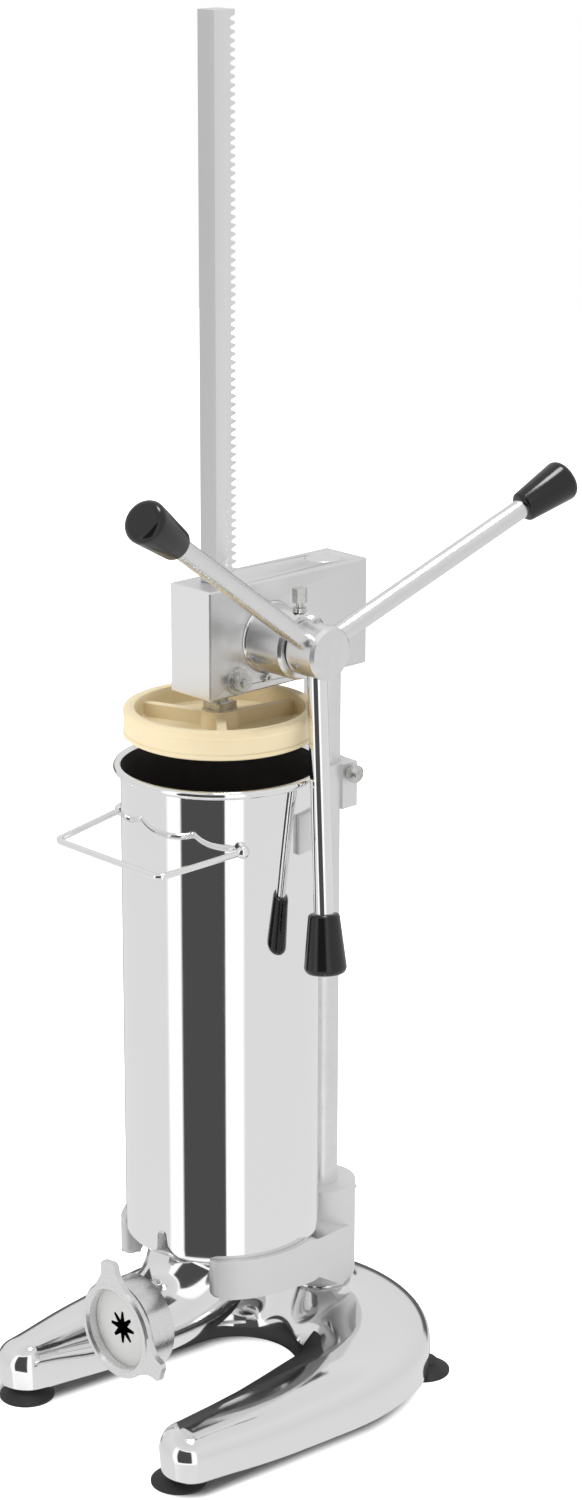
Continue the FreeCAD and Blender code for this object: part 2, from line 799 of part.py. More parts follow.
def horn_line(points):
    """A smooth line through (forward, up) points, with one unit of parameter from point to point."""
    line = Part.BSplineCurve()
    places = [Vector(0, -forward, up) for forward, up in points]
    line.interpolate(Points=places, Parameters=[float(i) for i in range(len(places))])
    return line


def horn_sections(inset):
    """Circles from the outlet back and up to the barrel's floor, drawn smaller by inset."""
    top, low, wide = value("barrel_bottom"), value("outlet_height"), value("elbow_flare_radius")
    radius, tail, drop = value("elbow_radius"), value("elbow_tail"), top - low
    inner = [(y * wide, low + z * drop) for y, z in HORN_INNER]
    outer = [(y * wide, low + z * drop) for y, z in HORN_OUTER]
    inner_line = horn_line([(tail, low + radius)] + inner + [(wide, top)])
    outer_line = horn_line([(tail, low - radius)] + outer + [(-wide, top)])
    wires = []
    for step in range(HORN_SECTIONS + 1):
        along = (len(HORN_INNER) + 1) * step / HORN_SECTIONS
        near, far = inner_line.value(along), outer_line.value(along)
        across = far - near
        ring = Part.makeCircle(0.5 * across.Length - inset, (near + far) * 0.5, X_AXIS.cross(across))
        wires.append(Part.Wire([ring]))
    return wires


def horn(inset):
    """The horn's solid: a straight round outlet, a smooth turn up and a wide mouth under the floor."""
    low, tail, end = value("outlet_height"), value("elbow_tail"), value("elbow_end")
    sections = horn_sections(inset)
    slices = [Part.makeLoft([near, far], True, True) for near, far in zip(sections, sections[1:])]
    slices.append(Part.makeCylinder(value("elbow_radius") - inset, end - tail + inset, Vector(0, -tail, low),
                                    -Y_AXIS))
    if inset:
        mouth = value("elbow_flare_radius") - inset
        slices.append(Part.makeCylinder(mouth, inset, Vector(0, 0, value("barrel_bottom"))))
    return slices[0].multiFuse(slices[1:])


def make_elbow():
    """Cast outlet horn: wide and round under the barrel's floor, turning forward to the die."""
    solid = horn(0).cut(horn(value("elbow_wall"))).removeSplitter()
    return keep_shape(solid.Solids[0], "outlet_elbow")


def make_seal():
    inner = d.elbow_bore
    outer = d.die_radius
    seal = turned_body("outlet_seal", [(inner, 0), (outer, 0), (outer, d.seal_thickness),
                                       (inner, d.seal_thickness)],
                       turn=ALONG_Y, y=-(d.elbow_end + d.seal_thickness), z=d.outlet_height)
    return keep(seal, "outlet_seal")


def make_die_plate():
    """Round plate with the star-shaped hole that gives the dough its ridges."""
    body = new_body("die_plate")
    disc = circle(sketch(body, "die_disc_profile", "XZ_Plane"), ZERO, ZERO, d.die_radius)
    pad(body, "die_disc", disc, d.die_thickness)
    points = int(value("star_points"))
    corners = []
    for i in range(points):
        turn, valley = 2 * math.pi * i / points, 2 * math.pi * (i + 0.5) / points
        for side in (-1, 1):
            half = d.star_tip_half * side
            corners.append((d.star_tip_radius * math.cos(turn) - half * math.sin(turn),
                            d.star_tip_radius * math.sin(turn) + half * math.cos(turn)))
        corners.append((d.star_root_radius * math.cos(valley), d.star_root_radius * math.sin(valley)))
    star = outline(sketch(body, "die_star_profile", "XZ_Plane"), corners)
    pocket(body, "die_star", star, d.die_thickness * 3, both_ways=True)
    return keep(put(body, y=-(d.elbow_end + d.seal_thickness), z=d.outlet_height), "die_plate")


def make_ring_nut():
    """Threaded ring that clamps the die plate, with a thin front flange and two ears to turn it by."""
    body = new_body("ring_nut")
    bore = d.elbow_radius + d.running_gap
    seat = d.die_radius + d.running_gap
    length = d.nut_front - d.nut_back
    lip = d.elbow_end + d.seal_thickness + d.die_thickness + d.running_gap - d.nut_back
    step = d.elbow_end - d.nut_back - d.seal_thickness
    bevel, rim = d.nut_chamfer, d.nut_flange_radius
    plate = length - d.nut_flange_thickness
    ring = outline(sketch(body, "nut_profile", "XZ_Plane"), [
        (bore, 0), (d.nut_radius - bevel * 0.5, 0), (d.nut_radius, bevel * 0.5),
        (d.nut_radius, plate - d.nut_flange_blend), (rim, plate), (rim, length - bevel),
        (rim - bevel, length),
        (d.nut_opening_radius + bevel, length), (d.nut_opening_radius, length - bevel),
        (d.nut_opening_radius, lip), (seat, lip), (seat, step), (bore, step),
    ])
    spin(body, "nut_ring", ring)
    swell = d.lug_root_half - d.lug_tip_half
    span = d.lug_reach - rim
    for number in range(2):
        turn = math.radians(value("lug_first_angle") + number * value("lug_spacing"))
        along, across = (math.cos(turn), math.sin(turn)), (-math.sin(turn), math.cos(turn))
        corners = [
            (rim - d.lug_tip_edge * 2, d.lug_root_half), (rim, d.lug_tip_half + swell * 0.55),
            (rim + span * 0.25, d.lug_tip_half + swell * 0.22),
            (rim + span * 0.55, d.lug_tip_half + swell * 0.05),
            (d.lug_reach - d.lug_tip_edge, d.lug_tip_half), (d.lug_reach, d.lug_tip_half - d.lug_tip_edge),
        ]
        corners += [(reach, -side) for reach, side in reversed(corners)]
        placed = [(r * along[0] + s * across[0], r * along[1] + s * across[1]) for r, s in corners]
        ear = outline(sketch(body, f"nut_ear_profile_{number}", "XY_Plane", length - bevel * 0.4), placed)
        pad(body, f"nut_ear_{number}", ear, d.nut_flange_thickness - bevel * 0.4, reverse=True)
    turn = Rotation(X_AXIS, 90)
    return keep(put(body, y=-d.nut_back, z=d.outlet_height, turn=turn), "ring_nut")


# --------------------------------------------------------------------------------------------
# Bail and its bosses
# --------------------------------------------------------------------------------------------


def rounded_path(points, radius):
    """Straight runs through points, with an arc of the given radius at each inner corner."""
    edges = []
    start = points[0]
    for before, corner, after in zip(points, points[1:], points[2:]):
        back = (before - corner).normalize()
        ahead = (after - corner).normalize()
        half = 0.5 * back.getAngle(ahead)
        setback = radius / math.tan(half)
        middle = (back + ahead).normalize()
        enter, leave = corner + back * setback, corner + ahead * setback
        crown = corner + middle * (radius / math.sin(half) - radius)
        edges.append(Part.makeLine(start, enter))
        edges.append(Part.Arc(enter, crown, leave).toShape())
        start = leave
    edges.append(Part.makeLine(start, points[-1]))
    return Part.Wire(edges)


def bail_boss_centre(side):
    angle, reach = math.radians(value("bail_boss_angle")), value("bail_boss_reach")
    return Vector(side * reach * math.sin(angle), -reach * math.cos(angle), value("bail_boss_height"))


def bail_rod():
    """The bail's bent wire, with its two ends let into their bosses."""
    half, reach, height = value("bail_half_width"), -value("bail_reach"), value("bail_height")
    corners = [bail_boss_centre(1), Vector(half, reach, height), Vector(-half, reach, height),
               bail_boss_centre(-1)]
    for end, inward in ((0, 1), (3, 2)):
        away = (corners[inward] - corners[end]).normalize()
        corners[end] = corners[end] + away * 2
    path = rounded_path(corners, value("bail_corner_radius"))
    start = path.Edges[0]
    first = start.Vertexes[0].Point
    ring = Part.Wire([Part.makeCircle(value("bail_wire_radius"), first,
                                      start.tangentAt(start.FirstParameter))])
    return path.makePipeShell([ring], True, False)


def make_bail():
    """Wire bracket across the front of the barrel's mouth."""
    return keep_shape(bail_rod(), "bail_wire")


def make_bail_bosses():
    """Rounded studs welded to the barrel, which hold the bail's two ends."""
    radius = value("bail_boss_radius")
    bosses = []
    barrel = Part.makeCylinder(value("barrel_radius"), 60, Vector(0, 0, value("bail_boss_height") - 30))
    wire = bail_rod()
    for side in (1, -1):
        centre = bail_boss_centre(side)
        out = Vector(centre.x, centre.y, 0).normalize()
        ball = Part.makeSphere(radius, centre)
        foot = Part.makeCylinder(radius - 0.5, 8, centre - out * 8, out)
        stud = ball.fuse(foot).cut(barrel).cut(wire)
        bosses.append(stud.removeSplitter())
    return keep_shape(Part.makeCompound([s for b in bosses for s in b.Solids]), "bail_bosses")


# --------------------------------------------------------------------------------------------
# Upper clamp: collar on the post and a band round the back of the barrel
# --------------------------------------------------------------------------------------------


def make_upper_clamp():
    """Split collar on the post, joined to a curved band that steadies the barrel's back."""
    post_y, radius = value("post_offset"), value("clamp_radius")
    low, high = value("clamp_bottom"), value("clamp_top")
    band_low, band_high = value("band_bottom"), value("band_top")
    inner = value("barrel_radius") + value("fit_gap")
    outer = inner + value("band_thickness")
    collar = Part.makeCylinder(radius, high - low, Vector(0, post_y, low))
    web = Part.makeBox(20, post_y - inner, band_high - band_low, Vector(-10, inner, band_low))
    ear = Part.makeBox(radius + 2, 16, high - low, Vector(0, post_y + value("clamp_screw_y") - 8, low))
    band = Part.makeCylinder(outer, band_high - band_low, Vector(0, 0, band_low))
    band = band.cut(Part.makeCylinder(inner, band_high, Vector(0, 0, band_low - 1)))
    half = math.radians(value("band_half_angle"))
    reach = 2 * outer
    rear = Part.Face(Part.makePolygon([
        Vector(0, 0, 0), Vector(reach * math.sin(half), reach * math.cos(half), 0),
        Vector(reach, 2 * reach, 0),
        Vector(-reach, 2 * reach, 0), Vector(-reach * math.sin(half), reach * math.cos(half), 0),
        Vector(0, 0, 0),
    ])).extrude(Vector(0, 0, band_high + 1))
    band = band.common(rear)
    solid = collar.multiFuse([web, ear, band])
    screw_y, screw_z = post_y + value("clamp_screw_y"), value("clamp_screw_height")
    bore = Part.makeCylinder(value("post_radius"), high, Vector(0, post_y, low - 1))
    keep_out = Part.makeCylinder(inner, high, Vector(0, 0, low - 1))
    hole = Part.makeCylinder(value("clamp_screw_radius") + value("shaft_bearing_gap"), 60,
                             Vector(0, screw_y, screw_z), X_AXIS)
    solid = solid.cut(Part.makeCompound([bore, keep_out, hole])).removeSplitter()
    return keep_shape(solid.Solids[0], "upper_clamp")


def make_clamp_screw():
    """Round-headed screw that pinches the clamp onto the post."""
    face = d.clamp_radius + 2 + d.running_gap
    start = d.post_radius + 1
    y, z = d.post_offset + d.clamp_screw_y, d.clamp_screw_height
    shank = cylinder("clamp_screw_shank", d.clamp_screw_radius, face - start + 1, start, y, z, ALONG_X)
    collar = cylinder("clamp_screw_collar", d.clamp_head_radius - 2, 2.5, face, y, z, ALONG_X)
    head = turned_body("clamp_screw_head", [
        (0, 0), (d.clamp_head_radius - 1.5, 0), (d.clamp_head_radius, 1.5),
        (d.clamp_head_radius, d.clamp_head_length - 3), (d.clamp_head_radius - 3, d.clamp_head_length),
        (0, d.clamp_head_length),
    ], ALONG_X, face + 2.5, y, z)
    return keep(fuse("clamp_screw", shank, collar, head), "clamp_screw")


# --------------------------------------------------------------------------------------------
# Head block, bearing boss, bushes and screws
# --------------------------------------------------------------------------------------------


def pinion_y():
    """The pinion's axis stands one pitch radius behind the rack's pitch line."""
    return d.rack_tip - d.gear_module + d.gear_module * d.pinion_teeth * 0.5


def make_gear_housing():
    """Solid aluminium head, bored for the rack, the pinion and the post."""
    body = new_body("gear_housing")
    half, edge = d.head_half_width, value("head_edge")
    block = outline(sketch(body, "head_outline", "XY_Plane", d.head_bottom), [
        (-half, d.head_front), (half, d.head_front), (half, d.head_rear), (-half, d.head_rear),
    ])
    solid = pad(body, "head_block", block, d.head_top - d.head_bottom)
    doc.recompute()
    every = [f"Edge{i + 1}" for i in range(len(solid.Shape.Edges))]
    soften(body, "head_bevels", solid, every, d.head_edge, "Chamfer")
    gap = d.rack_slot_gap
    channel = outline(sketch(body, "rack_channel_outline", "XY_Plane", d.head_top + 1), [
        (-(d.rack_half_width + gap), d.rack_back - gap), (d.rack_half_width + gap, d.rack_back - gap),
        (d.rack_half_width + gap, d.rack_tip + gap), (-(d.rack_half_width + gap), d.rack_tip + gap),
    ])
    pocket(body, "rack_channel", channel, d.head_top - d.head_bottom + 2)
    post_bore = circle(sketch(body, "post_bore_outline", "XY_Plane", d.head_top + 1), ZERO, d.post_offset,
                       d.post_radius + d.fit_gap / 4)
    pocket(body, "post_bore", post_bore, d.head_top - d.head_bottom + 2)
    axis = (pinion_y(), d.pinion_height)
    chamber = circle(sketch(body, "gear_chamber_outline", "YZ_Plane", half + 1), *axis, d.boss_spigot_radius)
    pocket(body, "gear_chamber", chamber, half + d.pinion_half_width + 3)
    inner_seat = circle(sketch(body, "inner_bush_seat_outline", "YZ_Plane", ZERO), *axis,
                        d.shaft_radius + d.bush_wall)
    pocket(body, "inner_bush_seat", inner_seat, half + 5)
    guide_hole = circle(sketch(body, "guide_bolt_hole_outline", "YZ_Plane", half + 1), d.guide_bolt_y,
                        d.guide_bolt_height, d.guide_bolt_radius)
    pocket(body, "guide_bolt_hole", guide_hole, half + 1)
    return keep(body, "gear_housing")


def make_bearing_boss():
    """Round bearing housing on the side of the head; its spigot closes the gear chamber."""
    body = new_body("bearing_boss")
    bore = d.shaft_radius + d.bush_wall
    face = d.head_half_width
    inner = face - d.boss_spigot_length
    edge, flare = d.head_edge * 1.6, d.boss_root_flare
    spigot = d.boss_spigot_radius - d.shaft_bearing_gap * 2
    profile = outline(sketch(body, "boss_profile", "XZ_Plane"), [
        (bore, inner), (spigot, inner), (spigot, face + 0.05),
        (d.boss_radius + flare * 0.35, face + flare * 0.35),
        (d.boss_radius, face + flare), (d.boss_radius, d.boss_end - edge), (d.boss_radius - edge, d.boss_end),
        (bore, d.boss_end),
    ])
    spin(body, "boss_turned", profile)
    screw = circle(sketch(body, "brake_hole_outline", "YZ_Plane"), ZERO, d.brake_screw_x,
                   d.brake_neck_radius + d.running_gap)
    pocket(body, "brake_hole", screw, d.boss_radius + 5)
    put(body, ZERO, pinion_y(), d.pinion_height, ALONG_X)
    return keep(body, "bearing_boss")


def make_bushes():
    """Bronze bushes: the outer one in the boss, the inner one in the far wall of the head."""
    bore = d.shaft_radius + d.shaft_bearing_gap
    outer = d.shaft_radius + d.bush_wall
    start = d.head_half_width - d.boss_spigot_length
    long = d.boss_end - start
    y, z = pinion_y(), d.pinion_height
    bush = turned_body("outer_bush", [(bore, 0), (outer, 0), (outer, long), (bore, long)], ALONG_X, start, y,
                       z)
    keep(bush, "outer_bush")
    wall = d.head_half_width - d.pinion_half_width - 2
    bush = turned_body("inner_bush", [(bore, 0), (outer, 0), (outer, wall), (bore, wall)], ALONG_X,
                       -d.head_half_width, y, z)
    keep(bush, "inner_bush")


def make_guide_bolt():
    """Hexagon bolt and washer that press a pad against the rack's side."""
    y, z = d.guide_bolt_y, d.guide_bolt_height
    face = d.head_half_width
    seat = face + d.guide_washer_thickness
    washer = cylinder("guide_washer", d.guide_washer_radius, d.guide_washer_thickness, face, y, z, ALONG_X)
    head = hexagon_prism("guide_head", d.guide_bolt_flats, d.guide_bolt_head, seat, y, z, ALONG_X)
    crown = cylinder("guide_end", d.guide_bolt_end_radius, d.guide_bolt_end_length + d.guide_bolt_head, seat,
                     y, z, ALONG_X)
    tip = d.rack_half_width + d.rack_slot_gap + d.guide_pad_thickness
    shank = cylinder("guide_shank", d.guide_bolt_radius, seat - tip, tip, y, z, ALONG_X)
    return keep(fuse("rack_guide_bolt", washer, head, crown, shank), "rack_guide_bolt")


def make_guide_pad():
    """Brass button between the guide bolt and the rack."""
    y, z = d.guide_bolt_y, d.guide_bolt_height
    pad_x = d.rack_half_width + d.rack_slot_gap
    button = cylinder("rack_guide_pad", d.guide_bolt_radius, d.guide_pad_thickness, pad_x, y, z, ALONG_X)
    return keep(button, "rack_guide_pad")


def make_brake_screw():
    """Hexagon-headed screw on top of the boss, with a lock ring; turned down, it holds the crank still."""
    x, y = d.brake_screw_x, pinion_y()
    base = d.pinion_height + d.shaft_radius + d.bush_wall + 1
    surface = d.pinion_height + d.boss_radius
    shank = cylinder("brake_shank", d.brake_neck_radius, surface + d.brake_neck_length - base, x, y, base)
    ring = cylinder("brake_ring", d.brake_ring_radius, d.brake_ring_height, x, y, surface + d.running_gap)
    head = hexagon_prism("brake_head", d.brake_head_flats, d.brake_head_length, x, y,
                         surface + d.brake_neck_length)
    return keep(fuse("brake_screw", shank, ring, head), "brake_screw")


def make_boss_screws():
    """Two small cap screws beside the boss's root that hold it to the head, below and behind it."""
    screws = []
    centre = Vector(value("head_half_width"), pinion_y().value, value("pinion_height"))
    radius, height, socket = value("boss_screw_radius"), value("boss_screw_height"), value("boss_screw_socket")
    reach = value("boss_spigot_radius") + radius
    for angle in (value("boss_screw_first_angle"), value("boss_screw_second_angle")):
        turn = math.radians(angle)
        place = centre + Vector(0, reach * math.cos(turn), reach * math.sin(turn))
        head = Part.makeCylinder(radius, height, place, X_AXIS)
        hollow = Part.makeCylinder(socket, height, place + Vector(height * 0.5, 0, 0), X_AXIS)
        screws.append(head.cut(hollow))
    return keep_shape(Part.makeCompound(screws), "boss_screws")


# --------------------------------------------------------------------------------------------
# Rack and piston
# --------------------------------------------------------------------------------------------

PRESSURE_ANGLE = math.radians(20)


def make_rack():
    """Rack bar with sharp-crested teeth on its rear side and a threaded stud at its foot."""
    body = new_body("rack")
    half = d.rack_half_width
    bar = outline(sketch(body, "rack_bar_outline", "XY_Plane", d.rack_bottom), [
        (-half, d.rack_back), (half, d.rack_back), (half, d.rack_tip), (-half, d.rack_tip),
    ])
    pad(body, "rack_bar", bar, d.rack_top - d.rack_bottom)
    stud = circle(sketch(body, "rack_stud_outline", "XY_Plane", d.rack_bottom), ZERO, ZERO, d.stud_radius)
    pad(body, "rack_stud", stud, d.rack_bottom - d.stud_bottom, reverse=True)
    pitch = d.gear_module * math.pi
    depth = d.gear_module * 2.25
    slope = math.tan(PRESSURE_ANGLE)
    first = d.pinion_height + d.rack_phase - pitch * d.rack_gaps_below_pinion
    mouth = pitch * 0.25 + d.gear_module * slope + d.tooth_backlash * 0.5
    root = mouth - depth * slope
    over = 0.5
    wide = mouth + over * slope
    gap = outline(sketch(body, "rack_gap_outline", "YZ_Plane"), [
        (d.rack_tip - depth, first - root), (d.rack_tip + over, first - wide),
        (d.rack_tip + over, first + wide), (d.rack_tip - depth, first + root),
    ])
    tooth_gap = pocket(body, "rack_gap", gap, d.rack_half_width * 2 + 2, both_ways=True)
    doc.recompute()
    teeth = body.newObject("PartDesign::LinearPattern", "rack_teeth")
    teeth.Originals = [tooth_gap]
    teeth.Direction = (plane(body, "Z_Axis"), [""])
    bind(teeth, "Length", pitch * (d.rack_gaps - 1))
    bind(teeth, "Occurrences", d.rack_gaps)
    body.Tip = teeth
    return keep(body, "rack")


def make_piston():
    """Moulded nylon disc: dished top, radial ribs, central hub and a wiping lip."""
    body = new_body("piston")
    low, high, radius = d.piston_bottom, d.piston_top, d.piston_radius
    bore = d.stud_radius + d.fit_gap
    floor_top = low + d.piston_floor
    step = d.piston_step
    nut_recess = d.piston_low_nut_height + 1
    recess_radius = d.piston_low_nut_flats / math.sqrt(3) + 0.5
    bevel = 1
    profile = outline(sketch(body, "piston_profile", "XZ_Plane"), [
        (recess_radius, low), (radius - 2.5, low), (radius, low + 1.5), (radius, low + 4),
        (radius - step, low + 5),
        (radius - step, high - d.piston_step_height), (radius - 0.1, high - d.piston_step_height + 0.6),
        (radius - 0.1, high - bevel * 2.4), (radius - bevel * 0.8, high - bevel * 0.7),
        (radius - bevel * 2.6, high),
        (radius - d.piston_rim + bevel * 1.6, high),
        (radius - d.piston_rim + bevel * 0.3, high - bevel * 0.6),
        (radius - d.piston_rim - bevel * 0.4, high - bevel * 2.2),
        (radius - d.piston_rim - bevel, floor_top + bevel * 2),
        (radius - d.piston_rim - bevel * 3, floor_top), (d.piston_hub_radius + bevel, floor_top),
        (d.piston_hub_radius, d.piston_hub_top), (bore, d.piston_hub_top), (bore, low + nut_recess),
        (recess_radius, low + nut_recess),
    ])
    spin(body, "piston_disc", profile)
    rib = sketch(body, "piston_rib_outline", "XY_Plane", floor_top - 1)
    turn = math.radians(value("piston_rib_angle"))
    near, far, half = d.piston_hub_radius - 2, radius - d.piston_rim + 2, d.piston_rib * 0.5
    corners = [(near, -half), (far, -half), (far, half), (near, half)]
    outline(rib, [(r * math.cos(turn) - s * math.sin(turn), r * math.sin(turn) + s * math.cos(turn))
                  for r, s in corners])
    one = pad(body, "piston_rib_pad", rib, d.piston_rib_top - floor_top + 1)
    doc.recompute()
    repeat_around(body, "piston_ribs", one, d.piston_rib_count)
    return keep(body, "piston")


def make_piston_nuts():
    """Square nut on the hub and a hexagon nut sunk in the piston's underside."""
    width, height = d.piston_nut_width, d.piston_nut_height
    block = primitive("Box", "piston_nut_block", -width * 0.5, -width * 0.5, d.piston_hub_top,
                      Length=width, Width=width, Height=height)
    bore = cylinder("piston_nut_bore", d.stud_radius, height, z=d.piston_hub_top)
    keep(cut("piston_top_nut", block, bore), "piston_top_nut")
    base = d.piston_bottom + 1
    nut = hexagon_prism("piston_low_hexagon", d.piston_low_nut_flats, d.piston_low_nut_height, z=base)
    hole = cylinder("piston_low_bore", d.stud_radius, d.piston_low_nut_height, z=base)
    keep(cut("piston_bottom_nut", nut, hole), "piston_bottom_nut")


# --------------------------------------------------------------------------------------------
# Crank: pinion, shaft, hub, spokes and grips
# --------------------------------------------------------------------------------------------


def involute_point(base_radius, radius, start_angle, side):
    """A point on an involute of the base circle, at the given radius."""
    pressure = math.acos(min(1.0, base_radius / radius))
    swing = math.tan(pressure) - pressure
    angle = start_angle + side * swing
    return Vector(radius * math.cos(angle), radius * math.sin(angle), 0)


def make_pinion():
    """Spur gear with involute flanks, one tooth pointing at the rack's gap when at rest."""
    teeth, module = int(value("pinion_teeth")), value("gear_module")
    pitch_radius = 0.5 * module * teeth
    base_radius = pitch_radius * math.cos(PRESSURE_ANGLE)
    tip_radius, root_radius = pitch_radius + module * 0.95, pitch_radius - 1.25 * module
    swing = math.tan(PRESSURE_ANGLE) - PRESSURE_ANGLE
    half_tooth = math.pi / (2 * teeth) - 0.5 * value("tooth_backlash") / pitch_radius + swing
    start_radius = max(base_radius, root_radius) + 0.01
    radii = [start_radius + (tip_radius - start_radius) * share for share in (0, 0.35, 0.7, 1)]
    edges = []
    corners = []
    for tooth in range(teeth):
        middle = math.pi - value("rack_phase") / pitch_radius + tooth * 2 * math.pi / teeth
        rising = [involute_point(base_radius, r, middle - half_tooth, 1) for r in radii]
        falling = [involute_point(base_radius, r, middle + half_tooth, -1) for r in reversed(radii)]
        corners.append((rising, falling))
    for tooth in range(teeth):
        rising, falling = corners[tooth]
        following = corners[(tooth + 1) % teeth][0]
        root_in = falling[-1] * (root_radius / falling[-1].Length)
        root_out = following[0] * (root_radius / following[0].Length)
        path = rising + falling + [root_in, root_out, following[0]]
        edges += [Part.makeLine(a, b) for a, b in zip(path, path[1:])]
    wire = Part.Wire(edges)
    half = value("pinion_half_width")
    gear = Part.Face(wire).extrude(Vector(0, 0, 2 * half))
    gear = gear.cut(Part.makeCylinder(value("shaft_radius"), 2 * half + 2, Vector(0, 0, -1)))
    wheel = doc.addObject("Part::Feature", "pinion_wheel")
    wheel.Shape = gear
    return keep(put(wheel, -d.pinion_half_width, pinion_y(), d.pinion_height, CYCLE), "pinion")


def make_shaft():
    """Crank shaft, from the inner bush through the pinion and the boss to the hub's face."""
    start, end = -d.head_half_width - 3, d.hub_end - 6
    bevel = 1
    profile = [
        (0, 0), (d.shaft_radius - bevel, 0), (d.shaft_radius, bevel), (d.shaft_radius, end - start),
        (0, end - start),
    ]
    return keep(turned_body("pinion_shaft", profile, ALONG_X, start, pinion_y(), d.pinion_height),
                "pinion_shaft")


def make_shaft_ring():
    """Retaining ring on the shaft's inner end."""
    start = -d.head_half_width - 1.8
    ring = turned_body("shaft_ring", [
        (d.shaft_radius, 0), (d.shaft_radius + 3.5, 0), (d.shaft_radius + 3.5, 1.4), (d.shaft_radius, 1.4),
    ], ALONG_X, start, pinion_y(), d.pinion_height)
    return keep(ring, "shaft_ring")


SPOKE_NAMES = ("rear", "front", "lower")


def crank_point(reach, angle):
    """A point on a spoke's centre line, reach millimetres out from the shaft's axis."""
    tilt, turn = math.radians(value("spoke_tilt")), math.radians(angle)
    centre = Vector(value("spoke_plane"), pinion_y().value, value("pinion_height"))
    out = Vector(math.sin(tilt), math.cos(tilt) * math.cos(turn), math.cos(tilt) * math.sin(turn))
    return centre + out * reach, out


def spoke_angles():
    """Each spoke's angle in the crank's plane, measured from straight back towards straight up."""
    return [value(f"spoke_{name}_angle") for name in SPOKE_NAMES]


def spoke_reach(name):
    """Distance from the shaft's axis to the far end of a spoke's grip."""
    return getattr(d, f"spoke_{name}_reach")


def hub_screw_solids():
    """A small set screw between each pair of spokes, sunk a little into the hub's rim."""
    screws = []
    centre = Vector(value("spoke_plane") - 3, pinion_y().value, value("pinion_height"))
    for angle in spoke_angles():
        turn = math.radians(angle + 0.5 * FULL_TURN / len(SPOKE_NAMES))
        out = Vector(0, math.cos(turn), math.sin(turn))
        screws.append(Part.makeCylinder(2.5, 2.4, centre + out * (value("hub_radius") - 0.8), out))
    return Part.makeCompound(screws)


def make_hub():
    """Round crank hub with a drilled seat for each spoke."""
    body = new_body("crank_hub")
    bore, edge = d.shaft_radius, d.hub_edge
    profile = outline(sketch(body, "hub_profile", "XZ_Plane"), [
        (bore, d.hub_start), (d.hub_radius - 1, d.hub_start), (d.hub_radius, d.hub_start + 1),
        (d.hub_radius, d.hub_end - edge), (d.hub_radius - edge, d.hub_end), (0, d.hub_end),
        (0, d.hub_end - 6),
        (bore, d.hub_end - 6),
    ])
    spin(body, "hub_turned", profile)
    put(body, ZERO, pinion_y(), d.pinion_height, ALONG_X)
    doc.recompute()
    solid = body.Shape.copy()
    for angle in spoke_angles():
        place, out = crank_point(value("spoke_root"), angle)
        solid = solid.cut(Part.makeCylinder(value("spoke_radius"), 40, place, out))
    solid = solid.cut(hub_screw_solids())
    hub = doc.addObject("Part::Feature", "crank_hub_drilled")
    hub.Shape = solid.removeSplitter().Solids[0]
    return keep(hub, "crank_hub")


def make_spokes():
    """Three chromed rods, each driven into the hub and capped by a tapered grip."""
    for name, angle in zip(SPOKE_NAMES, spoke_angles()):
        start, out = crank_point(value("spoke_root"), angle)
        rod = doc.addObject("Part::Cylinder", f"spoke_{name}")
        bind(rod, "Radius", d.spoke_radius)
        bind(rod, "Height", spoke_reach(name) - d.spoke_root - d.grip_length * (ZERO + 1 - d.grip_cover))
        rod.Placement = Placement(start, Rotation(Z_AXIS, out))
        keep(rod, f"spoke_{name}")


def make_grips():
    """Tapered plastic grips, wider at their outer ends."""
    inner, outer = d.grip_inner_radius, d.grip_outer_radius
    edge, mouth = d.grip_end_edge, d.grip_inner_edge
    length, bore = d.grip_length, d.spoke_radius
    depth = length * d.grip_cover
    for name, angle in zip(SPOKE_NAMES, spoke_angles()):
        start, out = crank_point(spoke_reach(name).value - value("grip_length"), angle)
        grip = turned_body(f"grip_{name}", [
            (bore, 0), (inner - mouth, 0), (inner - mouth * 0.3, mouth * 0.35), (inner, mouth * 1.2),
            (outer, length - edge), (outer - edge * 0.3, length - edge * 0.4), (outer - edge, length),
            (0, length),
            (0, depth), (bore, depth),
        ])
        grip.setExpression("Placement.Base.x", None)
        grip.setExpression("Placement.Base.y", None)
        grip.setExpression("Placement.Base.z", None)
        grip.Placement = Placement(start, Rotation(Z_AXIS, out))
        keep(grip, f"grip_{name}")


def make_hub_screws():
    return keep_shape(hub_screw_solids(), "hub_screws")


# --------------------------------------------------------------------------------------------
# Build, check and export
# --------------------------------------------------------------------------------------------

MAKERS = (
    make_base_casting, make_suction_feet, make_foot_screws, make_post, make_post_nut, make_post_collar,
    make_cradle, make_cradle_screw, make_barrel, make_elbow, make_seal, make_die_plate, make_ring_nut,
    make_bail, make_bail_bosses, make_upper_clamp, make_clamp_screw, make_gear_housing, make_bearing_boss,
    make_bushes, make_guide_bolt, make_guide_pad, make_brake_screw, make_boss_screws, make_rack, make_piston,
    make_piston_nuts, make_pinion, make_shaft, make_shaft_ring, make_hub, make_spokes, make_grips,
    make_hub_screws,
)


def check_document():
    """Stops if any object failed or any sub-part is not a valid solid."""
    for obj in doc.Objects:
        if "Invalid" in obj.State or "Error" in obj.State:
            raise RuntimeError(f"{obj.Name} failed: {obj.State}")
    for label, obj in parts.items():
        shape = obj.Shape
        if shape.isNull() or not shape.isValid() or not shape.Solids:
            raise RuntimeError(f"{label} is not a valid solid")


def export_parts():
    os.makedirs("parts", exist_ok=True)
    for label, obj in parts.items():
        obj.Shape.exportStep(os.path.join("parts", f"{label}.step"))
        box = obj.Shape.BoundBox
        print(f"{label:20s} solids {len(obj.Shape.Solids)} volume {obj.Shape.Volume / 1000:9.2f} cm3  "
              f"x {box.XMin:7.1f} {box.XMax:7.1f}  y {box.YMin:7.1f} {box.YMax:7.1f}  "
              f"z {box.ZMin:7.1f} {box.ZMax:7.1f}")


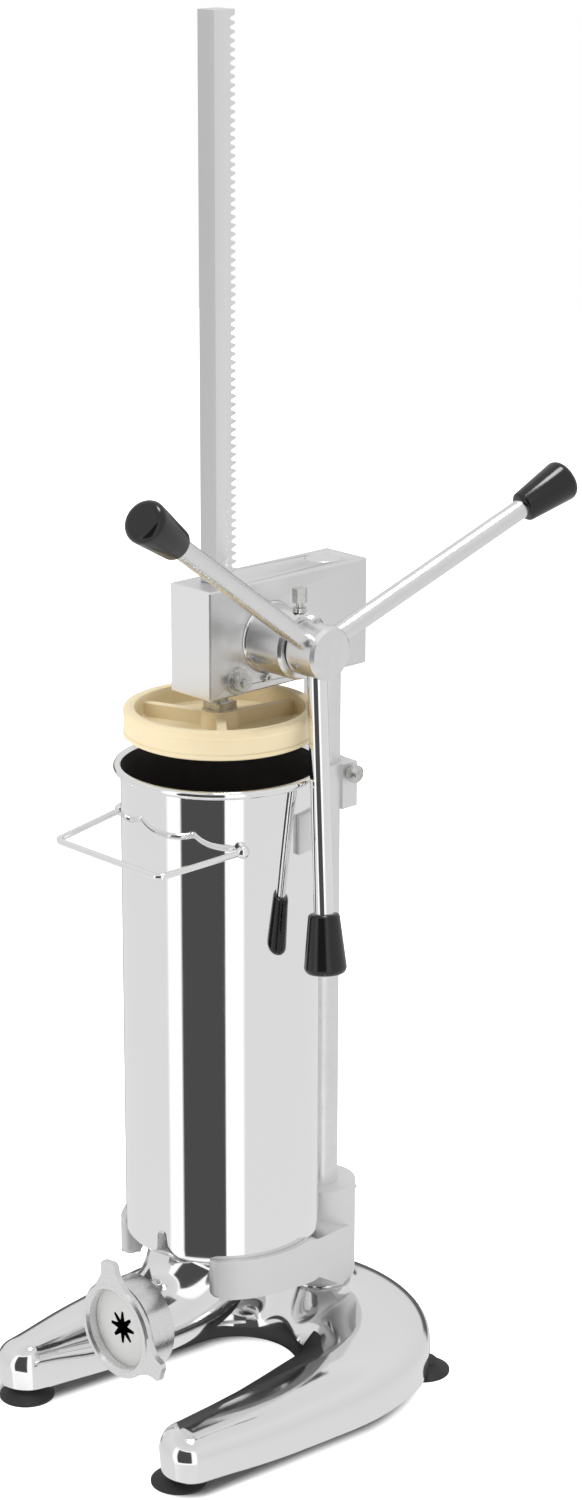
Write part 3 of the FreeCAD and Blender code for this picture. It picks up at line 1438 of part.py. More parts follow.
for make in MAKERS:
    make()
doc.recompute()
check_document()
export_parts()
whole = Part.makeCompound([obj.Shape for obj in parts.values()]).BoundBox
print(f"{len(parts)} nodes, overall x {whole.XMin:.1f} {whole.XMax:.1f} y {whole.YMin:.1f} {whole.YMax:.1f} "
      f"z {whole.ZMin:.1f} {whole.ZMax:.1f}")
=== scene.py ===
# %% [markdown]
# # A rack-and-pinion churro press
#
# The press stands on a horseshoe of polished aluminium. A round post carries a cradle, a tall
# mirror-polished barrel and a solid head. A square rack runs down through the head and pushes a
# cream piston into the barrel, and a three-spoke crank turns the pinion that drives the rack.
#
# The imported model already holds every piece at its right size. Here it gets its finishes, and the
# pieces whose curves show in reflections are worked out again as fine, smooth surfaces.

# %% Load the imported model
import json
import math

import bmesh
import bpy
import numpy as np
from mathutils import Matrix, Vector


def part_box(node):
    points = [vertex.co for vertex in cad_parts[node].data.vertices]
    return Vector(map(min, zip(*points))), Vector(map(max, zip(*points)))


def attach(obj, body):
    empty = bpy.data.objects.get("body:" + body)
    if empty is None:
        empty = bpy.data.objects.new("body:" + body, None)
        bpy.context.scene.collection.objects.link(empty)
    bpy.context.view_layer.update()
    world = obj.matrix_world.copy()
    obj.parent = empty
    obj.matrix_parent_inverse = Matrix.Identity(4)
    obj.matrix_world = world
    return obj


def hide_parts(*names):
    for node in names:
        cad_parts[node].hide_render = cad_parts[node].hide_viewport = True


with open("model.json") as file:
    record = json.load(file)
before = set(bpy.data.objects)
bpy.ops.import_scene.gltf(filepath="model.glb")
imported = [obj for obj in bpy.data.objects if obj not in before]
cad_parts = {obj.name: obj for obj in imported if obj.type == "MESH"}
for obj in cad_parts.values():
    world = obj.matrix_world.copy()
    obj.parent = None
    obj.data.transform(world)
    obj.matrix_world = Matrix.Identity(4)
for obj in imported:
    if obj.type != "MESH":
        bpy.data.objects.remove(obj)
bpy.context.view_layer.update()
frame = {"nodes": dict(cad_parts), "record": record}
nodes = frame["nodes"]
MM = 0.001


def middle(node):
    """Centre of a node's box, in metres."""
    low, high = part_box(node)
    return (np.array(low) + np.array(high)) / 2


AXIS_Y = float(middle("piston")[1])


def from_axis(points):
    """Points in millimetres about the barrel's axis, as metres in the frame."""
    return np.asarray(points) * MM + np.array([0, AXIS_Y, 0])


def new_object(name, data):
    """An object with the given mesh, lamp or camera, placed in the scene."""
    made = bpy.data.objects.new(name, data)
    bpy.context.scene.collection.objects.link(made)
    return made


# %% [markdown]
# ## The camera
#
# The machine is seen from its front right and a little from above. A long lens keeps its upright
# edges parallel, so the frame is moved sideways with the lens shift and the camera is not tilted
# sideways.

# %% Camera
CAMERA_PLACE = (1739.74, -1572.98, 1264.45)
CAMERA_TURN = (72.822, 0.0, 47.031)
SENSOR_WIDTH = 36
FOCAL_LENGTH = 76.94
LENS_SHIFT = 0.0169

lens = bpy.data.cameras.new("camera")
lens.sensor_width = SENSOR_WIDTH
lens.lens = FOCAL_LENGTH
lens.shift_x = LENS_SHIFT
camera = new_object("camera", lens)
camera.location = from_axis(CAMERA_PLACE)
camera.rotation_euler = [math.radians(angle) for angle in CAMERA_TURN]
bpy.context.scene.camera = camera
bpy.context.scene.view_settings.view_transform = "Standard"
print("camera at", tuple(round(v, 3) for v in camera.location))

# %% [markdown]
# ## The studio
#
# Polished metal has hardly any colour of its own: it shows the room. The room is therefore drawn
# with care: a light grey surround, and in front of the machine one tall dark panel in a wide white
# frame. Behind the machine, two low dark patches draw the thin contour of the base. It is a sky
# shader that depends on the direction in which a ray leaves, so every mirror on the machine finds
# the same room. The camera itself sees plain white, like a paper background.
#
# First come a few small helpers for shader nodes, used by the sky and by every finish below.

# %% Node helpers


def node(tree, kind, **settings):
    """Adds a shader node and sets its plain properties."""
    made = tree.nodes.new(kind)
    for key, setting in settings.items():
        setattr(made, key, setting)
    return made


def link(tree, source, target):
    tree.links.new(source, target)


def feed(tree, given, socket):
    """Gives a socket a colour, a number (which is a grey on a colour socket) or another socket."""
    if isinstance(given, tuple):
        socket.default_value = (*given, 1)
    elif isinstance(given, (int, float)):
        socket.default_value = (given, given, given, 1) if socket.type == "RGBA" else given
    else:
        link(tree, given, socket)


def calculate(tree, operation, first, second=None):
    """A Math node: each input is a socket or a number."""
    made = node(tree, "ShaderNodeMath", operation=operation)
    for given, socket in zip((first, second), made.inputs):
        if given is not None:
            feed(tree, given, socket)
    return made.outputs[0]


def ramp(tree, value, stops):
    """A colour ramp through (place, grey) stops."""
    made = node(tree, "ShaderNodeValToRGB")
    band = made.color_ramp
    while len(band.elements) < len(stops):
        band.elements.new(0.5)
    for element, (place, shade) in zip(band.elements, stops):
        element.position = place
        element.color = (shade, shade, shade, 1)
    link(tree, value, made.inputs[0])
    return made.outputs[0]


def blend(tree, mask, first, second):
    """Mixes two colours, each a socket, a colour or a grey number, by a mask."""
    made = node(tree, "ShaderNodeMix", data_type="RGBA")
    feed(tree, first, made.inputs["A"])
    feed(tree, second, made.inputs["B"])
    link(tree, mask, made.inputs["Factor"])
    return made.outputs["Result"]


def new_material(name):
    """A material with a Principled shader. Returns it, its node tree and the shader's inputs."""
    made = bpy.data.materials.new(name)
    made.use_nodes = True
    return made, made.node_tree, made.node_tree.nodes["Principled BSDF"].inputs


print("node helpers ready")

# %% [markdown]
# A direction is described by two numbers: how far it is turned from straight ahead (-Y) towards the
# crank (+X), and how far it rises. Each patch of the room is a soft-edged rectangle in these two.

# %% Sky shader
# The rise in degrees and the grey there.
SURROUND = (
    (-90, 0.80), (-40, 0.80), (-22, 0.78), (0, 0.74), (20, 0.76), (45, 0.80), (70, 0.74), (90, 0.70),
)
# Left, right, bottom and top in degrees, the width of the soft edge, and the shade.
PATCHES = {
    "dark edge": (-147, -119, -32, -12, 2, 0.2),
    "dark corner": (-165, -98, -12, 0, 5, 0.12),
    "white frame": (-15, 73, -37, 46, 2.5, 1.15),
    "dark panel": (2, 52, -30, 42, 1.2, 0.074),
}

world = bpy.data.worlds.new("studio")
bpy.context.scene.world = world
world.use_nodes = True
sky = world.node_tree
sky.nodes.clear()
heading = node(sky, "ShaderNodeTexCoord").outputs["Generated"]
split = node(sky, "ShaderNodeSeparateXYZ")
link(sky, heading, split.inputs[0])
turn = calculate(
    sky, "ARCTAN2", split.outputs[0], calculate(sky, "MULTIPLY", split.outputs[1], -1.0)
)
around = calculate(sky, "ADD", calculate(sky, "DIVIDE", turn, 2 * math.pi), 0.5)
rise = calculate(sky, "ADD", calculate(sky, "DIVIDE", split.outputs[2], 2.0), 0.5)


def turn_place(angle):
    """Where a turn in degrees lies on the scale from 0 (-180) to 1 (180)."""
    return angle / 360 + 0.5


def rise_place(angle):
    """Where a rise in degrees lies on the scale from 0 (straight down) to 1 (straight up)."""
    return math.sin(math.radians(angle)) / 2 + 0.5


def band(value, place, low, high, soft):
    """A mask that is 1 between two angles, with a soft edge outside either."""
    return ramp(sky, value, [
        (place(low - soft), 0.0), (place(low), 1.0), (place(high), 1.0), (place(high + soft), 0.0),
    ])


def patch(left, right, bottom, top, soft):
    """A mask that is 1 inside a rectangle of directions, given in degrees."""
    across = band(around, turn_place, left, right, soft)
    return calculate(sky, "MULTIPLY", across, band(rise, rise_place, bottom, top, soft))


room = ramp(sky, rise, [(rise_place(angle), shade) for angle, shade in SURROUND])
for left, right, bottom, top, soft, shade in PATCHES.values():
    room = blend(sky, patch(left, right, bottom, top, soft), room, shade)
surround = node(sky, "ShaderNodeBackground")
link(sky, room, surround.inputs["Color"])
paper = node(sky, "ShaderNodeBackground")
feed(sky, 1.0, paper.inputs["Color"])
choose = node(sky, "ShaderNodeMixShader")
link(sky, node(sky, "ShaderNodeLightPath").outputs["Is Camera Ray"], choose.inputs[0])
link(sky, surround.outputs[0], choose.inputs[1])
link(sky, paper.outputs[0], choose.inputs[2])
link(sky, choose.outputs[0], node(sky, "ShaderNodeOutputWorld").inputs[0])
print("sky with", len(sky.nodes), "nodes")

# %% [markdown]
# Two soft lamps lift the tops of the matt pieces. The large one is left out of reflections, because
# the sky already holds what the mirrors should show; the small one overhead is kept in them, and
# puts a crisp highlight on every rounded top.

# %% Lamps


def soft_lamp(name, place, aim, size, power, in_reflections):
    """A square area lamp at a place, facing a point, in metres."""
    data = bpy.data.lights.new(name, "AREA")
    data.size = size
    data.energy = power
    lamp = new_object(name, data)
    lamp.location = place
    lamp.rotation_euler = (Vector(aim) - Vector(place)).to_track_quat("-Z", "Y").to_euler()
    lamp.visible_glossy = in_reflections


soft_lamp("lamp_left", (-1.2, -1.8, 2.4), (0, 0, 0.5), size=1.6, power=26, in_reflections=False)
soft_lamp("lamp_top", (0.2, 0.1, 3.2), (0, 0, 0.4), size=0.7, power=22, in_reflections=True)
print("two lamps")

# %% [markdown]
# The floor is a fine grid near the machine and coarse further out. Its glow fades where the machine
# stands on it, and its colour darkens there to a painted shadow. The fade follows the distance to the
# horseshoe's middle line:
#
#     distance = length(p - nearest point of the line), the line being two legs and a half circle
#
# Near the machine stand three black flags: dark cards that only reflections see, a painted shade for
# the shade under and beside the machine. One lies on the floor in the bend and one stands by the
# inside of the right leg; they paint the dark bands of shade on the inner slopes of the casting. The
# third hangs under the barrel and paints shade on the top of the outlet horn.

# %% Floor and flags
LEG_X = 0.099
TIP_Y = -0.123
BEND_Y = 0.030
BEND_RADIUS = 0.096
FOOT_MARGIN = 0.018
REAR_MARGIN = 0.032
FADE_WIDTH = 0.018
GLOW = 0.9
FLOOR_SHADE = 0.93
FLOOR_ROUGHNESS = 0.9
# The colour of the painted contact shadow under and beside the casting.
PAINTED_CONTACT_SHADOW = 0.25
NEAR_REACH = 0.3
NEAR_STEP = 0.005
FAR_LINES = np.array([0.4, 0.6, 1.0, 2.0, 4.0])
PAINTED_SHADE_GREY = 0.10


def leg_share(y):
    """0 at the legs' tips, 1 where the bend starts; y is measured from the barrel."""
    return np.clip((y - TIP_Y) / (BEND_Y - TIP_Y), 0, 1)


def distance_to_horseshoe(x, y):
    """Distance on the floor from the casting's middle line, in metres about the barrel's axis."""
    leg_line = LEG_X + (BEND_RADIUS - LEG_X) * leg_share(y)
    leg = np.hypot(np.abs(x) - leg_line, y - np.clip(y, TIP_Y, BEND_Y))
    bend = np.abs(np.hypot(x, y - BEND_Y) - BEND_RADIUS)
    return np.where(y < BEND_Y, leg, np.minimum(leg, bend))


near_lines = np.arange(-NEAR_REACH, NEAR_REACH + NEAR_STEP / 50, NEAR_STEP)
lines = np.concatenate([-FAR_LINES[::-1], near_lines, FAR_LINES])
gx, gy = np.meshgrid(lines, lines, indexing="ij")
ids = np.arange(gx.size).reshape(gx.shape)
quads = np.stack([ids[:-1, :-1], ids[1:, :-1], ids[1:, 1:], ids[:-1, 1:]], -1)
spots = np.stack([gx, gy + AXIS_Y, np.zeros_like(gx)], -1)
floor_mesh = bpy.data.meshes.new("floor")
floor_mesh.from_pydata(spots.reshape(-1, 3).tolist(), [], quads.reshape(-1, 4).tolist())
glow = floor_mesh.attributes.new("glow", "FLOAT", "POINT")
margin = FOOT_MARGIN + (REAR_MARGIN - FOOT_MARGIN) * leg_share(gy)
fade = np.clip((distance_to_horseshoe(gx, gy) - margin) / FADE_WIDTH, 0, 1)
glow.data.foreach_set("value", (fade * fade * (3 - 2 * fade)).astype(np.float32).ravel())
floor = new_object("floor", floor_mesh)
floor.visible_glossy = False
paint, tree, inputs = new_material("white_floor")
feed(tree, FLOOR_ROUGHNESS, inputs["Roughness"])
feed(tree, 1.0, inputs["Emission Color"])
# Near the machine the glow fades and the colour darkens to the painted contact shadow.
away = node(tree, "ShaderNodeAttribute", attribute_name="glow").outputs["Fac"]
link(tree, calculate(tree, "MULTIPLY", away, GLOW), inputs["Emission Strength"])
link(tree, blend(tree, away, PAINTED_CONTACT_SHADOW, FLOOR_SHADE), inputs["Base Color"])
floor_mesh.materials.append(paint)


def level_card(reach, front, back, height):
    """Corners of a card that faces up, from x = -reach to reach and from y = front to back."""
    corners = (-reach, front), (reach, front), (reach, back), (-reach, back)
    return [(x, y, height) for x, y in corners]


# Metres about the barrel's axis. The leg's flag is upright and faces the crank's side (+X).
PAINTED_SHADE_FLAGS = {
    "floor_flag": level_card(0.078, -0.005, 0.085, 0.002),
    "leg_flag": [
        (0.040, -0.100, 0.040), (0.040, 0.064, 0.026), (0.040, 0.064, 0.125), (0.040, -0.100, 0.125),
    ],
    "barrel_flag": level_card(0.072, -0.072, 0.072, 0.1425)[::-1],
}
card, tree, inputs = new_material("painted_shade_card")
feed(tree, PAINTED_SHADE_GREY, inputs["Base Color"])
feed(tree, 1.0, inputs["Roughness"])
feed(tree, 0.0, inputs["Specular IOR Level"])
# The back of a card lets light through, so only the side that faces the machine is black: painted
# shade.
behind = node(tree, "ShaderNodeNewGeometry").outputs["Backfacing"]
link(tree, calculate(tree, "SUBTRACT", 1.0, behind), inputs["Alpha"])
for name, flag_corners in PAINTED_SHADE_FLAGS.items():
    flag_mesh = bpy.data.meshes.new(name)
    flag_mesh.from_pydata([(x, y + AXIS_Y, z) for x, y, z in flag_corners], [], [(0, 1, 2, 3)])
    flag_mesh.materials.append(card)
    flag = new_object(name, flag_mesh)
    flag.visible_camera = False
    flag.visible_diffuse = False
    flag.visible_shadow = False
print("floor with", len(floor_mesh.polygons), "faces")

# %% [markdown]
# ## Finishes
#
# Five effects are shared by several metals and plastics, so each is a node group that is built
# once: the fine lines of a brushed bar, the slow ripple and tiny pits of a polished casting, the
# haze that handling leaves on a mirror, the grain of moulded plastic, and which way a face looks,
# which is used to paint light and shade on whole faces. Each group only gives out numbers; every
# material keeps its own shader.

# %% Shared effects
BROAD_SCALE, BROAD_SHARE = 0.12, 0.3
PIT_SIZE, PIT_RARITY = 0.16, 0.6
CLOUD_SCALE, CLOUD_RANGE = 6.0, (0.15, 0.42)


def effect(name, inputs, outputs):
    """An empty shader node group with a place, and with named numbers that go in and come out."""
    group = bpy.data.node_groups.new(name, "ShaderNodeTree")
    group.interface.new_socket("Place", in_out="INPUT", socket_type="NodeSocketVector")
    for way, labels in (("INPUT", inputs), ("OUTPUT", outputs)):
        for label in labels:
            group.interface.new_socket(label, in_out=way, socket_type="NodeSocketFloat")
    start = group.nodes.new("NodeGroupInput")
    end = group.nodes.new("NodeGroupOutput")
    return group, start.outputs, end.inputs


def stretched(tree, place, factors):
    """Coordinates scaled by a factor on each axis, or left as they are."""
    if factors is None:
        return place
    mapping = node(tree, "ShaderNodeMapping")
    mapping.inputs["Scale"].default_value = factors
    link(tree, place, mapping.inputs["Vector"])
    return mapping.outputs[0]


def noise(tree, place, scale, detail, roughness=0.55, stretch=None):
    """Noise of a given scale per metre, optionally stretched by a factor on each axis."""
    made = node(tree, "ShaderNodeTexNoise")
    for key, given in (("Scale", scale), ("Detail", detail), ("Roughness", roughness)):
        feed(tree, given, made.inputs[key])
    link(tree, stretched(tree, place, stretch), made.inputs["Vector"])
    return made.outputs["Fac"]


def brushed_group():
    """Fine parallel scratches with a share of broader ones."""
    group, given, out = effect("brushed_lines", ["Fineness"], ["Lines"])
    fine = noise(group, given["Place"], given["Fineness"], 4.0, 0.7)
    broad_scale = calculate(group, "MULTIPLY", given["Fineness"], BROAD_SCALE)
    broad = noise(group, given["Place"], broad_scale, 2.0)
    fine = calculate(group, "MULTIPLY", fine, 1 - BROAD_SHARE)
    broad = calculate(group, "MULTIPLY", broad, BROAD_SHARE)
    link(group, calculate(group, "ADD", fine, broad), out["Lines"])
    return group


def casting_group():
    """A polished casting: a slow ripple left by the buffing wheel and scattered fine pits."""
    group, given, out = effect("casting_skin", ["Ripple", "Pits"], ["Ripple", "Pits"])
    link(group, noise(group, given["Place"], given["Ripple"], 1.5, 0.4), out["Ripple"])
    cells = node(group, "ShaderNodeTexVoronoi")
    link(group, given["Place"], cells.inputs["Vector"])
    link(group, given["Pits"], cells.inputs["Scale"])
    near = calculate(group, "LESS_THAN", cells.outputs["Distance"], PIT_SIZE)
    rare = calculate(group, "GREATER_THAN", noise(group, given["Place"], 60.0, 2.0), PIT_RARITY)
    link(group, calculate(group, "MULTIPLY", near, rare), out["Pits"])
    return group


def haze_group():
    """Handling marks: wide soft clouds with a finer cloud inside them, from 0 to 1."""
    group, given, out = effect("handling_haze", ["Size"], ["Haze"])
    wide = noise(group, given["Place"], given["Size"], 3.0, 0.6)
    fine_scale = calculate(group, "MULTIPLY", given["Size"], CLOUD_SCALE)
    fine = noise(group, given["Place"], fine_scale, 4.0, 0.6)
    spread = node(group, "ShaderNodeMapRange")
    spread.inputs["From Min"].default_value, spread.inputs["From Max"].default_value = CLOUD_RANGE
    link(group, calculate(group, "MULTIPLY", wide, fine), spread.inputs["Value"])
    link(group, spread.outputs[0], out["Haze"])
    return group


def moulded_group():
    """Moulded plastic: a fine even grain and slow flow marks."""
    group, given, out = effect("moulded_skin", ["Grain", "Flow"], ["Grain", "Flow"])
    link(group, noise(group, given["Place"], given["Grain"], 2.0, 0.5), out["Grain"])
    link(group, noise(group, given["Place"], given["Flow"], 2.5, 0.5), out["Flow"])
    return group


def facing_group():
    """How far a face looks to the front (-Y), and how far it looks along Y either way, from 0 to 1."""
    group, given, out = effect("facing", [], ["Front", "Along"])
    parts = node(group, "ShaderNodeSeparateXYZ")
    link(group, given["Place"], parts.inputs[0])
    front = node(group, "ShaderNodeClamp")
    link(group, calculate(group, "MULTIPLY", parts.outputs[1], -1.0), front.inputs[0])
    link(group, front.outputs[0], out["Front"])
    link(group, calculate(group, "ABSOLUTE", parts.outputs[1]), out["Along"])
    return group


BRUSHED = brushed_group()
CASTING = casting_group()
HAZE = haze_group()
MOULDED = moulded_group()
FACING = facing_group()
print("shared effects:", [g.name for g in bpy.data.node_groups])

# %% [markdown]
# A finish in the making knows its shader and its coordinates. It can place a shared effect, and let
# a mask drive its roughness, its colour or its bumps. Most metals are one of two kinds: clouded by
# handling, or lined by a tool.

# %% Material helpers
LINE_RANGE = (0.3, 0.7)
ALONG_Z = (1.0, 1.0, 0.03)


class Finish:
    """A material, its node tree, its Principled shader's inputs and its coordinates."""

    def __init__(self, name, colour, metallic):
        self.material, self.tree, self.inputs = new_material(name)
        feed(self.tree, colour, self.inputs["Base Color"])
        feed(self.tree, metallic, self.inputs["Metallic"])
        coordinates = node(self.tree, "ShaderNodeTexCoord").outputs
        self.place, self.normal = coordinates["Object"], coordinates["Normal"]

    def use(self, group, place=None, stretch=None, **values):
        """Places a shared effect. stretch scales the coordinates on each axis."""
        made = node(self.tree, "ShaderNodeGroup", node_tree=group)
        link(self.tree, stretched(self.tree, place or self.place, stretch), made.inputs["Place"])
        for key, setting in values.items():
            made.inputs[key].default_value = setting
        return made.outputs

    def rough(self, mask, low, high, source=(0.0, 1.0)):
        """Drives the roughness from low to high as the mask goes through its source range."""
        made = node(self.tree, "ShaderNodeMapRange")
        for key, limit in zip(("From Min", "From Max", "To Min", "To Max"), (*source, low, high)):
            made.inputs[key].default_value = limit
        link(self.tree, mask, made.inputs["Value"])
        link(self.tree, made.outputs[0], self.inputs["Roughness"])

    def tint(self, mask, dark, light):
        """Drives the colour between two colours or greys."""
        link(self.tree, blend(self.tree, mask, dark, light), self.inputs["Base Color"])

    def bump(self, height, distance, strength):
        """Turns a height into a bump, on top of the one that is there already."""
        made = node(self.tree, "ShaderNodeBump")
        feed(self.tree, distance, made.inputs["Distance"])
        feed(self.tree, strength, made.inputs["Strength"])
        link(self.tree, height, made.inputs["Height"])
        for below in self.inputs["Normal"].links:
            link(self.tree, below.from_socket, made.inputs["Normal"])
        link(self.tree, made.outputs[0], self.inputs["Normal"])

    def grain(self, scale, distance, strength):
        """Adds the fine even bump of a satin surface."""
        self.bump(noise(self.tree, self.place, scale, 3.0, 0.6), distance, strength)


def clouded(name, colour, size, roughness, metallic=1.0):
    """A metal whose polish is clouded by handling, from the lower to the higher roughness."""
    finish = Finish(name, colour, metallic)
    finish.rough(finish.use(HAZE, Size=size)["Haze"], *roughness)
    return finish


def lined(name, colour, stretch, fineness, roughness, depth=0.0, strength=0.5):
    """A metal with the straight lines of a tool, drawn out along the axis whose stretch is small."""
    finish = Finish(name, colour, 1.0)
    lines = finish.use(BRUSHED, stretch=stretch, Fineness=fineness)["Lines"]
    finish.rough(lines, *roughness, LINE_RANGE)
    if depth:
        finish.bump(lines, depth, strength)
    return finish


# %% [markdown]
# The barrel is rolled from mirror-polished stainless sheet. A mirror needs almost no roughness, and
# a very slight wave in its normal makes straight reflections waver as thin sheet does. Inside, the
# barrel is dull and painted near black: painted shade for the dim inside of the tube.

# %% Barrel finishes


def mirror_steel():
    finish = clouded("mirror_steel", (0.90, 0.90, 0.905), 9.0, (0.035, 0.075))
    wave = noise(finish.tree, finish.place, 16.0, 1.0, 0.3, stretch=(1.0, 1.0, 0.25))
    finish.bump(wave, 0.0004, 0.25)
    lines = finish.use(BRUSHED, stretch=(1.0, 1.0, 0.02), Fineness=700.0)["Lines"]
    finish.bump(lines, 0.00001, 0.06)
    return finish


def inside_painted_shade():
    finish = Finish("inside_painted_shade", (0.03, 0.03, 0.032), 0.0)
    lines = finish.use(BRUSHED, stretch=(1.0, 1.0, 0.05), Fineness=500.0)["Lines"]
    finish.rough(lines, 0.50, 0.62, LINE_RANGE)
    finish.tint(lines, (0.024, 0.024, 0.025), (0.046, 0.046, 0.048))
    return finish


# %% [markdown]
# The aluminium pieces come in three grades: buffed castings that are nearly mirrors, satin castings
# with a fine cloudy grain, and machined blocks whose cutter left faint straight lines.

# %% Aluminium finishes


def polished_casting():
    finish = clouded("polished_casting", 0.87, 16.0, (0.06, 0.15))
    skin = finish.use(CASTING, Ripple=11.0, Pits=520.0)
    finish.bump(skin["Ripple"], 0.0016, 0.35)
    finish.bump(skin["Pits"], 0.00006, -0.5)
    return finish


def satin_casting():
    finish = Finish("satin_casting", 0.80, 0.9)
    skin = finish.use(CASTING, Ripple=26.0, Pits=480.0)
    finish.rough(skin["Ripple"], 0.48, 0.60, LINE_RANGE)
    finish.tint(skin["Ripple"], 0.76, 0.84)
    finish.grain(1300.0, 0.00012, 0.35)
    finish.bump(skin["Pits"], 0.0002, -0.6)
    return finish


def machined_block():
    """The block's front face is painted lighter than its sides: painted light for the way the light
    falls on it.
    """
    finish = lined("machined_block", 0.78, (1.0, 0.35, 0.06), 620.0, (0.27, 0.46), depth=0.00005)
    finish.tint(finish.use(FACING, finish.normal)["Front"], 0.78, 0.97)
    return finish


def satin_nut():
    finish = clouded("satin_nut", 0.82, 40.0, (0.24, 0.38), metallic=0.95)
    finish.grain(1800.0, 0.000005, 0.05)
    return finish


# %% [markdown]
# Steel pieces: drawn bars whose lines run along their length, chromed rods and wire, and small
# zinc-plated screws with a slightly mottled plating.

# %% Steel finishes


def drawn_bar():
    finish = lined("drawn_bar", 0.76, ALONG_Z, 1100.0, (0.26, 0.44), depth=0.00004)
    finish.tint(finish.use(HAZE, Size=24.0)["Haze"], 0.80, 0.85)
    return finish


def rack_bar():
    """The rack's narrow front face is painted darker than its sides: painted shade for the way the
    light falls on it.
    """
    finish = lined("rack_bar", 0.80, ALONG_Z, 1100.0, (0.24, 0.38), depth=0.00004)
    finish.tint(finish.use(FACING, finish.normal)["Front"], 0.86, 0.66)
    return finish


def chrome():
    return clouded("chrome", 0.90, 50.0, (0.05, 0.13))


def handled_chrome():
    """Chrome that hands have dulled: the two spokes that are pulled most."""
    return clouded("handled_chrome", 0.80, 60.0, (0.22, 0.36))


def turned_metal():
    """Turned on a lathe and polished: the rings left by the tool run round the shaft's axis."""
    return lined("turned_metal", 0.82, (1.0, 0.03, 0.03), 900.0, (0.14, 0.28), 0.00003, strength=0.4)


def plated_screw():
    finish = Finish("plated_screw", (0.66, 0.66, 0.65), 1.0)
    haze = finish.use(HAZE, Size=120.0)["Haze"]
    finish.rough(haze, 0.20, 0.42)
    finish.tint(haze, (0.52, 0.52, 0.50), (0.74, 0.74, 0.73))
    return finish


def gear_steel():
    return lined("gear_steel", 0.50, (0.04, 1.0, 1.0), 900.0, (0.28, 0.46))


def bush_bronze():
    return clouded("bush_bronze", (0.62, 0.42, 0.20), 80.0, (0.28, 0.48))


# %% [markdown]
# The plastics and the rubber are not metals: their colour comes from inside, and only a weak gloss
# lies on top. Nylon lets a little light in, so its edges stay soft and warm.

# %% Plastic and rubber finishes
NYLON_SHADE = (0.70, 0.70, 0.69)
STAR_HOLE_PAINTED_SHADE = 0.01
FLAT_FACE = 0.7


def cream_nylon():
    finish = Finish("cream_nylon", (0.78, 0.66, 0.43), 0.0)
    skin = finish.use(MOULDED, Grain=1400.0, Flow=24.0)
    finish.tint(skin["Flow"], (0.74, 0.62, 0.39), (0.81, 0.70, 0.48))
    finish.rough(skin["Flow"], 0.36, 0.50)
    finish.bump(skin["Grain"], 0.00003, 0.4)
    finish.inputs["Subsurface Weight"].default_value = 0.15
    finish.inputs["Subsurface Radius"].default_value = (0.004, 0.0025, 0.0012)
    finish.inputs["Subsurface Scale"].default_value = 1.0
    return finish


def black_plastic():
    finish = Finish("black_plastic", (0.006, 0.006, 0.0065), 0.0)
    skin = finish.use(MOULDED, Flow=60.0)
    finish.rough(skin["Flow"], 0.12, 0.24)
    finish.bump(skin["Flow"], 0.0004, 0.15)
    return finish


def black_rubber():
    finish = Finish("black_rubber", 0.016, 0.0)
    skin = finish.use(MOULDED, Grain=1200.0, Flow=90.0)
    finish.rough(skin["Flow"], 0.45, 0.70)
    finish.bump(skin["Grain"], 0.00006, 0.5)
    return finish


def light_nylon():
    """The die plate: its flat faces are light, and the walls of its star hole are painted black as
    shade.
    """
    finish = Finish("light_nylon", NYLON_SHADE, 0.6)
    skin = finish.use(MOULDED, Grain=1500.0, Flow=40.0)
    along = finish.use(FACING, finish.normal)["Along"]
    flat = calculate(finish.tree, "GREATER_THAN", along, FLAT_FACE)
    finish.tint(flat, STAR_HOLE_PAINTED_SHADE, NYLON_SHADE)
    finish.rough(skin["Flow"], 0.36, 0.50)
    finish.bump(skin["Grain"], 0.00004, 0.4)
    return finish


FINISH_OF_SLOT = {
    "mirror_steel": mirror_steel, "polished_casting": polished_casting, "satin_casting": satin_casting,
    "satin_block": machined_block, "satin_nut": satin_nut, "satin_bar": drawn_bar,
    "bright_steel": chrome, "screw_steel": plated_screw, "gear_steel": gear_steel,
    "bush_bronze": bush_bronze, "cream_nylon": cream_nylon, "black_plastic": black_plastic,
    "black_rubber": black_rubber, "light_nylon": light_nylon,
}
FINISH_OF_PIECE = {
    "rack": rack_bar, "spoke_front": handled_chrome, "spoke_rear": handled_chrome,
    "bearing_boss": turned_metal,
}
FINISHES = {slot: make().material for slot, make in FINISH_OF_SLOT.items()}
OWN_FINISHES = {piece: make().material for piece, make in FINISH_OF_PIECE.items()}
PAINTED_SHADE_INSIDE = inside_painted_shade().material
print("finishes:", sorted(FINISHES))

# %% [markdown]
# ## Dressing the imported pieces
#
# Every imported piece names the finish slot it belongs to, so one loop can dress them all. Their
# meshes are loose triangles. A Weld modifier joins them while rendering, and an Edge Split modifier
# keeps the sharp edges sharp, so curved faces shade smoothly and flat ones stay flat.

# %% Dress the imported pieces
WELD_DISTANCE = 0.00001
SHARP_ANGLE = 32
BEVEL_ANGLE = 50
BROKEN_EDGES = {"gear_housing": 0.0005, "rack": 0.0004}


def smooth(mesh):
    """Marks every face for smooth shading."""
    mesh.polygons.foreach_set("use_smooth", np.ones(len(mesh.polygons), dtype=bool))


def keep_edges(obj, angle):
    """Splits the edges that are sharper than an angle in degrees, so they stay sharp."""
    obj.modifiers.new("sharp_edges", "EDGE_SPLIT").split_angle = math.radians(angle)


